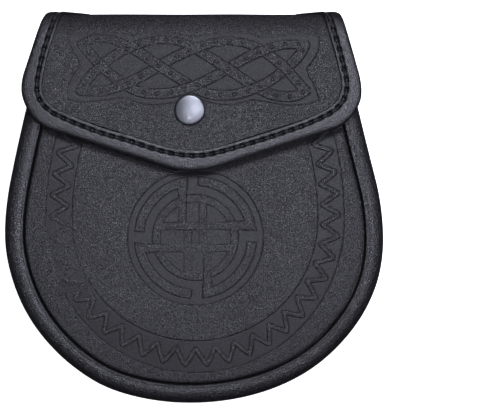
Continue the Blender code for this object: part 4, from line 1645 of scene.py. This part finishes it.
@dataclass
class Flap:
    """The flap: one grained sheet from its lap on the back, over the fold, to its point in front.

    Its edge is skived thin where the binding is folded round it, and painted shade darkens its fold.
    """

    form: FlapForm
    edge_inset: float = 2.0
    rows_back: int = 28
    rows_fold: int = 60
    rows_front: int = 132
    columns: int = 341
    step: int = 4
    corner_share: float = 0.5
    press_depth: float = 0.22
    line_depth: float = 0.1
    wave_height: float = 0.16
    skived: float = 1.9
    skived_inset: float = 8.6
    skived_edge: float = 0.5
    cap_dimple: float = 0.25
    cap_reach: float = 9.0
    cap_shadow: float = 7.3
    cap_rise: float = 0.6
    faint_edge: float = -8.0
    faint_width: float = 36.0
    faint_loss: float = 0.16
    # Painted shade over the fold: how far below the fold's top it is darkest, over what height it fades, and
    # the rise of its line value
    painted_shade_top: float = 1.0
    painted_shade_height: float = 17.0
    painted_shade_rise: float = 0.4

    def grid(self) -> Array:
        """A grid over the flap laid flat: x across, and the length along the leather.

        The rows run from the lap over the fold to the corners, and take on the bulge of the V.

        Returns:
            Points (rows, columns, 2).
        """
        lengths, _, _ = self.form.side_view()
        shoulder, _, drop_end = self.form.landmarks()
        half = self.form.left_edge(self.edge_inset, float(lengths[-1]))
        radius = self.form.corner_radius - self.edge_inset
        turn = self.corner_share * 0.5 * math.pi
        corner = self.form.corner_height - radius * math.sin(turn)
        split = np.argmax(half[:, 1] <= corner)
        known = lengths_along(half)
        stop = known[split]
        marks = np.interp([-drop_end, -shoulder], -half[:, 1], known)
        along = even_steps((0.0, *marks, stop), (self.rows_back, self.rows_fold, self.rows_front))
        left = points_at(half, along)
        whole = self.form.edge(self.edge_inset, float(lengths[-1]))
        total = lengths_along(whole)[-1]
        bottom = points_at(whole, np.linspace(stop, total - stop, self.columns))
        share = np.clip((shoulder - left[:, 1]) / (shoulder - left[-1, 1]), 0.0, 1.0)
        return rows_with_bulge(left, bottom, share)

    def painted_fold_shade(self, height: Array) -> Array:
        """The line value of the painted shade over the fold, darkest just below its top."""
        top = self.form.fold_height - self.painted_shade_top
        return Stamped.BLACK + self.painted_shade_rise * ease((top - height) / self.painted_shade_height)

    def build(self, finishes: Finishes) -> Piece:
        """Make the flap: the grid is folded into place, and the stamp, waves and skiving move its face.

        Args:
            finishes: the pouch's materials.
        Returns:
            The flap.
        """
        grid = self.grid()
        across, along = grid[..., 0], grid[..., 1]
        middle = self.form.place(across, along, self.form.leather / 2)
        plan = middle[..., :2].reshape(-1, 2)
        _, drop_start, _ = self.form.landmarks()
        front = (along < drop_start).reshape(-1)
        stamped = Stamped.blank(len(plan))
        pattern = Stamped.blank(int(front.sum()))
        KnotBandStamp().stamp(pattern, plan[front])
        for name in ("pressed", "line", "raised"):
            getattr(stamped, name)[front] = getattr(pattern, name)
        strength = 1.0 - self.faint_loss * ease((self.faint_edge - plan[:, 0]) / self.faint_width)
        relief = stamped.relief(self.press_depth, self.line_depth, strength)
        from_cap = np.linalg.norm(plan - np.array(SNAP_PLACE), axis=1)
        relief = relief - self.cap_dimple * bell(from_cap / self.cap_reach, 4)
        shadow = np.maximum(from_cap - self.cap_shadow, 0.0) * self.cap_rise
        line = np.minimum(np.where(front, shadow, Stamped.LINE_REACH), stamped.faded_line(strength))
        line = np.minimum(line, self.painted_fold_shade(plan[:, 1]))
        sheet_plan = np.stack([across, along], axis=-1).reshape(-1, 2)
        uneven = 0.5 * self.wave_height * waves(sheet_plan, seed=5, length=45.0)
        whole_edge = self.form.edge(0.0, float(self.form.side_view()[0][-1]))
        inset = distance_to(sheet_plan, whole_edge[::2], 12.0)
        thinner = self.skived * ease((self.skived_inset - inset) / self.skived_edge)
        out = (self.form.leather / 2 + relief + uneven - thinner).reshape(across.shape)
        outer = self.form.place(across, along, out)
        inner = self.form.place(across, along, np.full(across.shape, -self.form.leather / 2))
        shape = sheet(outer, inner[:: self.step, :: self.step], self.step)
        stamped.mark(shape, strength, line)
        return settle(shape.to_object("flap_leather", finishes.grained), Slot.GRAINED, "flap")


@dataclass
class FlapBinding:
    """The folded strip sewn round the flap: a smooth roll, a sunk stitch channel and a thin inner lip.

    Its colour has painted shade: black in the stitch holes, and darker above the V, most of all on the lip.
    """

    form: FlapForm
    stitch_pitch: float = 5.1
    stitch_inset: float = 7.05
    stitch_out: float = 1.75
    spacing: float = 0.6
    back_angle: float = math.radians(45.0)
    hole_depth: float = 2.1
    hole_half: float = 1.2
    channel_half: float = 0.95
    channel_start: float = 5.6
    # Painted shade in the stitch holes: the half-width that is black, how fast it lightens beyond, and the
    # line value along the channel between holes
    hole_shade_core: float = 0.4
    hole_shade_rise: float = 0.4
    bridge_shade: float = 0.3
    wave_height: float = 0.06
    tip_fullness: float = 0.7
    tip_top: float = 150.0
    tip_fade: float = 12.0
    # Painted shade up the flanks and over the top, more on the lip and a little less on the right
    flank_start: float = 125.0
    flank_fade: float = 20.0
    top_start: float = 170.0
    top_fade: float = 15.0
    flank_painted_shade: float = 0.18
    right_less_shade: float = 0.03
    lip_start: float = 7.9
    lip_painted_shade: tuple[float, float] = (0.08, 0.12)

    # Length along the edge from the tip, left to right, and how far in the hand-guided seam strays there
    WANDER = (
        (-180.0, -0.75), (-133.0, -0.75), (-119.0, -0.8), (-105.0, 0.7), (-91.0, 0.6), (-77.0, 0.3),
        (-63.0, -1.0), (-49.0, -1.7), (-35.0, -1.2), (-21.0, -1.15), (-7.0, -0.25), (7.0, -0.45),
        (21.0, -1.3), (35.0, -1.65), (49.0, -1.65), (63.0, -1.15), (77.0, 0.5), (91.0, 0.85),
        (105.0, 0.15), (119.0, -0.6), (133.0, -0.6), (180.0, -0.6),
    )

    # Inset, and distance out from the middle of the flap's leather
    SECTION = (
        (9.8, 1.15), (9.8, 1.9), (9.6, 2.45), (9.1, 2.62), (8.2, 2.6), (7.75, 2.35), (7.5, 1.75),
        (7.15, 1.65), (6.9, 1.65), (6.45, 1.7), (6.3, 2.1), (6.05, 2.42), (5.55, 2.56), (4.6, 2.58),
        (3.4, 2.52), (2.4, 2.45), (1.6, 2.28), (0.8, 1.92), (0.3, 1.25), (0.0, 0.3), (0.2, -0.9),
        (0.7, -1.6), (1.2, -2.0), (3.2, -2.45), (8.6, -2.45), (9.0, -2.2), (9.0, -1.5), (1.7, -1.5),
        (1.2, 0.0), (1.7, 1.1), (5.0, 1.0), (5.3, -0.7), (8.3, -0.7), (8.6, 1.1),
    )

    def path(self) -> tuple[Array, Array, Array]:
        """The binding's outer edge laid flat at equal steps.

        Returns:
            The lengths along it, its points (n, 2), and the directions (n, 2) that point inwards.
        """
        _, _, drop_end = self.form.landmarks()
        edge = self.form.edge(0.0, drop_end + self.back_angle * self.form.back_radius)
        total = lengths_along(edge)[-1]
        lengths = np.linspace(0.0, total, int(total / self.spacing) + 1)
        points = points_at(edge, lengths)
        return lengths, points, to_the_left(points)

    def stray(self, lengths: Array) -> Array:
        """How far in the seam and the inner edge lie of their even place, at lengths along the edge."""
        wander = smooth_curve(np.array(self.WANDER), 6)
        return np.interp(lengths - 0.5 * lengths[-1], wander[:, 0], wander[:, 1])

    def stitch_line(self) -> tuple[Array, Array, Array, int]:
        """The seam in space.

        Returns:
            Its points (n, 3), the directions (n, 3) off the leather, its flat lengths and its stitch count.
        """
        lengths, points, inward = self.path()
        flat = points + inward * (self.stitch_inset + self.stray(lengths))[:, None]
        known = lengths_along(flat)
        low, high = (
            self.form.place(flat[:, 0], flat[:, 1], np.full(len(flat), self.stitch_out + above))
            for above in (0.0, 1.0)
        )
        return low, high - low, known, int(known[-1] / self.stitch_pitch)

    def line_value(self, points: Array, section: Array, hole: Array) -> Array:
        """The line value of the binding's painted shade: black in the stitch holes, dark along the channel
        between them, and darker up the flanks, most of all on the lip, a little less on the right.

        Args:
            points: the outer edge's points laid flat (stations, 2).
            section: the section's points (around, 2).
            hole: at each station, 1 in a stitch hole and 0 between two.
        Returns:
            The line value (stations, around).
        """
        insets, outs = section[:, 0], section[:, 1]
        off = np.maximum(np.abs(insets - self.stitch_inset) - self.hole_shade_core, 0.0)
        dark = self.hole_shade_rise * off[None, :] + self.bridge_shade * (1.0 - hole[:, None])
        dark = np.where((outs > 0.0) & (insets > self.channel_start), dark, Stamped.LINE_REACH)
        flank = ease((points[:, 1] - self.flank_start) / self.flank_fade)
        top = ease((points[:, 1] - self.top_start) / self.top_fade)
        painted_shade_line = Stamped.CLEAR - (self.flank_painted_shade - self.right_less_shade * np.sign(points[:, 0])) * flank
        lip = self.lip_painted_shade[0] * flank + self.lip_painted_shade[1] * top
        lip = (insets > self.lip_start)[None, :] * lip[:, None]
        return np.minimum(dark, painted_shade_line[:, None] - lip)

    def build(self, finishes: Finishes) -> Piece:
        """Make the binding: the section is carried along the edge, and dips at each stitch hole.

        Args:
            finishes: the pouch's materials.
        Returns:
            The binding.
        """
        lengths, points, inward = self.path()
        section = rounded_loop(np.array(self.SECTION), 1)
        insets, outs = section[:, 0], section[:, 1]
        inner = ease((insets - 1.0) / 5.0)
        moved = insets[None, :] + self.stray(lengths)[:, None] * inner[None, :]
        fuller = self.tip_fullness * ease((self.tip_top - points[:, 1]) / self.tip_fade)
        moved = moved - fuller[:, None] * (1.0 - inner)[None, :]
        flat = points[:, None, :] + inward[:, None, :] * moved[:, :, None]
        _, _, seam, count = self.stitch_line()
        pitch = seam[-1] / count
        phase = (seam / pitch + 0.5) % 1.0 - 0.5
        hole = bell(phase * pitch / self.hole_half, 4)
        beside = bell((insets - self.stitch_inset) / self.channel_half, 4) * (outs > 0.0)
        uneven = waves(level_plan(seam), seed=21, length=17.0)
        face = ease((insets - 0.4) / 2.0) * (outs > 1.21)
        out = outs[None, :] - self.hole_depth * hole[:, None] * beside[None, :]
        out = out + self.wave_height * uneven[:, None] * face[None, :] * ease(9.0 - insets)[None, :]
        shape = swept(self.form.place(flat[..., 0], flat[..., 1], out))
        shape.values["line"] = self.line_value(points, section, hole).reshape(-1)
        return settle(shape.to_object("binding_leather", finishes.glossy), Slot.SMOOTH, "flap_binding")


@dataclass(frozen=True)
class Thread:
    """Lock stitches: each a short bow of two-ply thread between two holes.

    Sink and proud are how deep its ends and how high its middle lie, cover is the share of the pitch
    that it spans, and lobes and taper are the shares of the radius that the plies and the ends change.
    """

    radius: float = 0.46
    sink: float = 1.6
    proud: float = 0.15
    cover: float = 0.58
    bow_power: float = 0.35
    turns: float = 1.1
    lobes: float = 0.14
    taper: float = 0.2
    stations: int = 15
    sides: int = 10

    def seam(self, line: Array, up: Array, known: Array, count: int) -> Shape:
        """Stitches along a line: bows that leave one hole, lie on the leather and enter the next.

        Each one's height follows a sine to a low power, and its section's two lobes turn as plies do.

        Args:
            line: the seam's points (n, 3).
            up: the directions (n, 3) away from the leather.
            known: the seam's length at each of those points, by which the stitches are spaced.
            count: how many stitches share the line.
        Returns:
            All the stitches.
        """
        share = np.linspace(0.0, 1.0, self.stations)
        lengths = (np.arange(count)[:, None] + 0.5 + (share[None, :] - 0.5) * self.cover) * known[-1] / count
        middle, lift = (
            np.stack([np.interp(lengths, known, vectors[:, axis]) for axis in range(3)], axis=-1)
            for vectors in (line, up)
        )
        lift = unit(lift)
        bow = np.sin(math.pi * share) ** self.bow_power
        middle = middle + lift * (bow * (self.sink + self.proud) - self.sink)[None, :, None]
        heading = unit(np.gradient(middle, axis=1))
        side = unit(np.cross(heading, lift))
        upright = np.cross(side, heading)
        turn = np.arange(self.sides) * math.tau / self.sides
        twist = self.turns * math.tau * share[:, None]
        radius = self.radius * (1.0 + self.lobes * np.cos(2.0 * turn[None, :] - 2.0 * twist))
        radius = radius * (1.0 - self.taper + self.taper * np.sin(math.pi * share))[:, None]
        rings = middle[:, :, None, :] + radius[None, :, :, None] * (
            np.cos(turn)[None, None, :, None] * side[:, :, None, :]
            + np.sin(turn)[None, None, :, None] * upright[:, :, None, :]
        )
        each = self.stations * self.sides
        quads = grid_faces(self.stations, self.sides, wrap=True)
        ends = np.stack([np.arange(self.sides), each - self.sides + np.arange(self.sides)[::-1]])
        shift = (np.arange(count) * each)[:, None, None]
        faces = [(group[None] + shift).reshape(-1, group.shape[1]) for group in (quads, ends)]
        return Shape(rings.reshape(-1, 3), faces)


def joined(shapes: list[Shape]) -> Shape:
    """Several shapes as one, with the faces of each kept in its own groups.

    Args:
        shapes: the shapes.
    Returns:
        The one shape, without their values.
    """
    counts = np.cumsum([0] + [len(shape.points) for shape in shapes])
    faces = [group + start for shape, start in zip(shapes, counts) for group in shape.faces]
    return Shape(np.vstack([shape.points for shape in shapes]), faces)


@dataclass
class BackLoop:
    """The loop on the back: a flat strip sewn down at both ends, each by a box of stitches."""

    half_length: float = 52.0
    height: float = 149.0
    tall: float = 22.0
    stations: int = 105
    seam_inset: float = 2.4
    box_length: float = 9.0
    box_stations: int = 81
    box_stitches: int = 16

    # Distance from the middle, and the depths of the lower and upper faces there
    LEVELS = (
        (0.0, 0.35, 2.45), (38.0, 0.35, 2.45), (42.0, 0.40, 2.75), (50.0, 0.55, 2.75), (52.0, 1.0, 2.75),
    )

    # The section as a share of the height's half and of the thickness, from its lower face's middle
    SECTION = (
        (0.0, 0.0), (0.6, 0.0), (0.93, 0.0), (0.985, 0.12), (1.0, 0.4), (1.0, 0.7), (0.985, 0.95),
        (0.93, 1.0), (0.0, 1.0), (-0.93, 1.0), (-0.985, 0.95), (-1.0, 0.7), (-1.0, 0.4),
        (-0.985, 0.12), (-0.93, 0.0), (-0.6, 0.0),
    )

    def faces(self, x: Array) -> tuple[Array, Array]:
        """The depths of the lower and upper faces at places across the back."""
        from_middle, lower, upper = np.array(self.LEVELS).T
        return np.interp(np.abs(x), from_middle, lower), np.interp(np.abs(x), from_middle, upper)

    def build(self, finishes: Finishes) -> Piece:
        """Make the loop: the section is carried across the back between the two faces.

        Args:
            finishes: the pouch's materials.
        Returns:
            The loop.
        """
        section = np.array(self.SECTION)
        x = np.linspace(-self.half_length, self.half_length, self.stations)
        lower, upper = self.faces(x)
        up = self.height + section[None, :, 0] * self.tall / 2 + 0.0 * x[:, None]
        depth = lower[:, None] + (upper - lower)[:, None] * section[None, :, 1]
        shape = swept(np.stack([x[:, None] + 0.0 * up, up, depth], axis=-1))
        return settle(shape.to_object("loop_leather", finishes.smooth), Slot.SMOOTH, "back_loop")

    def seams(self) -> list[tuple[Array, Array, Array, int]]:
        """The two boxes of stitches, as closed lines on the loop's lower face.

        Returns:
            For each, its points (n, 3), the directions (n, 3) off the leather, its lengths and stitch count.
        """
        half = self.tall / 2 - self.seam_inset
        found = []
        for side in (-1.0, 1.0):
            end, start = (side * (self.half_length - inset) for inset in (self.seam_inset, self.box_length))
            corners = np.array([[start, -half], [end, -half], [end, half], [start, half], [start, -half]])
            lengths = np.linspace(0.0, lengths_along(corners)[-1], self.box_stations)
            flat = points_at(corners, lengths)
            depth, _ = self.faces(flat[:, 0])
            line = np.column_stack([flat[:, 0], flat[:, 1] + self.height, depth])
            down = np.tile([0.0, 0.0, -1.0], (len(line), 1))
            found.append((line, down, lengths, self.box_stitches))
        return found


@dataclass
class Snap:
    """The snap: a domed cap riveted through the flap, and its stud on the panel below."""

    form: FlapForm
    sides: int = 96

    # Radius and depth above the flap's face: the dome, its rolled brim, the shank and the socket
    DOME = (
        (0.0, 2.25), (2.2, 2.19), (4.2, 2.01), (5.8, 1.75), (6.8, 1.53), (7.4, 1.2), (7.7, 0.7), (7.6, 0.2),
    )
    BELOW = (
        (7.0, 0.15), (2.4, 0.15), (2.4, -2.45), (5.0, -2.45), (5.2, -2.6), (5.2, -3.8), (5.0, -3.9),
        (2.2, -3.9), (2.2, -2.6), (0.0, -2.6),
    )

    def build(self, finishes: Finishes) -> Piece:
        """Turn the cap, and give the stud its plate.

        Args:
            finishes: the pouch's materials.
        Returns:
            The cap.
        """
        profile = np.vstack([smooth_curve(np.array(self.DOME), 6), np.array(self.BELOW)])
        face = self.form.front_depth + self.form.leather / 2
        shape = lathed(profile, self.sides, (*SNAP_PLACE, face))
        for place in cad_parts["snap_stud"].material_slots:
            place.material = finishes.nickel
        return settle(shape.to_object("nickel_cap", finishes.nickel, sharp=60.0), Slot.NICKEL, "snap_cap")


# ---- the studio


@dataclass(frozen=True)
class Studio:
    """A white light table, five soft lights, a dim even surround and a camera straight above the pouch.

    Places in the photograph are in its pixels, and the scale is a pixel in mm.
    """

    photo_width: float = 488.0
    photo_height: float = 408.0
    scale: float = 0.5
    outline_centre: float = 192.0
    lowest: float = 402.8
    camera_height: float = 1536.0
    camera_level: float = 36.0
    sensor: float = 36.0
    table_half: float = 4000.0
    table_drop: float = 0.2
    table_roughness: float = 0.9
    table_glow: float = 1.0
    table_colour: str = "#FBFBFB"
    glow_colour: str = "#FFFFFF"
    light_colour: str = "#EDEDFF"
    world_strength: float = 0.035
    light_distance: float = 1600.0

    # Tilt from straight above and direction from the right in degrees, size in mm, and watts
    LIGHTS = (
        ("key", 37.0, 78.0, 600.0, 16.0),
        ("front", 12.0, 30.0, 500.0, 8.8),
        ("fill", 38.0, 230.0, 800.0, 1.5),
        ("side", 36.0, 0.0, 600.0, 4.5),
        ("lamp", 9.0, 266.0, 130.0, 3.4),
    )

    def view_centre(self) -> tuple[float, float]:
        """The plan point under the middle of the photograph."""
        x = (self.photo_width / 2 - self.outline_centre) * self.scale
        return x, (self.lowest - self.photo_height / 2) * self.scale

    def add_camera(self) -> None:
        """A camera straight above the middle of the view, with the photograph's width at the bag's face."""
        x, height = self.view_centre()
        camera = bpy.data.cameras.new("camera")
        camera.sensor_fit = "HORIZONTAL"
        camera.sensor_width = self.sensor
        distance = self.camera_height - self.camera_level
        camera.lens = self.sensor * distance / (self.photo_width * self.scale)
        camera.clip_start, camera.clip_end = 0.01, 50.0
        viewer = into_scene("camera", camera)
        viewer.location = (x * MM, height * MM + CAD_BOX[0][1], self.camera_height * MM)
        bpy.context.scene.camera = viewer

    def add_floor(self) -> None:
        """The light table: lit from within, it shows no shadow, and throws no light on the pouch."""
        material, tree, shader = new_material("lit_opal_glass")
        opal = {"Base Color": linear(self.table_colour), "Roughness": self.table_roughness}
        glow = {"Emission Color": linear(self.glow_colour), "Emission Strength": self.table_glow}
        set_inputs(tree, shader, {**opal, "Specular IOR Level": 0.0, **glow})
        half, level = self.table_half * MM, -self.table_drop * MM
        corners = [(-half, -half, level), (half, -half, level), (half, half, level), (-half, half, level)]
        mesh = bpy.data.meshes.new("table")
        mesh.from_pydata(corners, [], [(0, 1, 2, 3)])
        mesh.materials.append(material)
        table = into_scene("table", mesh)
        table.visible_diffuse = False
        table.visible_glossy = False

    def add_light(self, name: str, tilt: float, direction: float, size: float, power: float) -> None:
        """A square soft light that faces the pouch's middle.

        Args:
            name: the light's name.
            tilt: its angle from straight above, in degrees.
            direction: where it stands round the pouch, in degrees from the right towards the top.
            size: the length of its sides in mm.
            power: its power in watts.
        """
        light = bpy.data.lights.new(name, "AREA")
        light.shape = "SQUARE"
        light.size = size * MM
        light.energy = power
        light.color = linear(self.light_colour)[:3]
        lamp = into_scene(name, light)
        aside, up = math.sin(math.radians(tilt)), math.cos(math.radians(tilt))
        turn = math.radians(direction)
        place = (aside * math.cos(turn), aside * math.sin(turn), up)
        lamp.location = [part * self.light_distance * MM for part in place]
        towards = -lamp.location
        lamp.rotation_euler = towards.to_track_quat("-Z", "Y").to_euler()

    def add_world(self) -> None:
        """A dim, even surround."""
        world = bpy.data.worlds.new("surround")
        world.use_nodes = True
        even = {"Color": linear(self.light_colour), "Strength": self.world_strength}
        set_inputs(world.node_tree, world.node_tree.nodes["Background"], even)
        bpy.context.scene.world = world

    def build(self) -> None:
        """Set up the camera, the table, the surround and the lights."""
        self.add_camera()
        self.add_floor()
        self.add_world()
        for light in self.LIGHTS:
            self.add_light(*light)
        bpy.context.scene.view_settings.view_transform = "Standard"


def build_threads(finishes: Finishes, binding: FlapBinding, loop: BackLoop) -> None:
    """Make the seams that show: one round the binding, and the loop's two boxes in a thinner thread.

    Args:
        finishes: the pouch's materials.
        binding: the flap's binding.
        loop: the back's loop.
    """
    round_flap = Thread().seam(*binding.stitch_line())
    settle(round_flap.to_object("binding_thread", finishes.thread), Slot.SMOOTH)
    thinner = Thread(radius=0.3, sink=1.1, proud=-0.05)
    boxes = joined([thinner.seam(*seam) for seam in loop.seams()])
    settle(boxes.to_object("loop_thread", finishes.thread), Slot.SMOOTH)


def main() -> None:
    """Build every piece in order."""
    logging.basicConfig(level=logging.INFO, format="%(message)s")
    bag, flap = BagForm(), FlapForm()
    Studio().build()
    finishes = Finishes.make()
    binding, loop = FlapBinding(flap), BackLoop()
    for part in (FrontPanel(bag, flap), Gusset(bag), BackPanel(bag), Flap(flap), binding, Snap(flap), loop):
        part.build(finishes)
    build_threads(finishes, binding, loop)


if __name__ == "__main__":
    main()
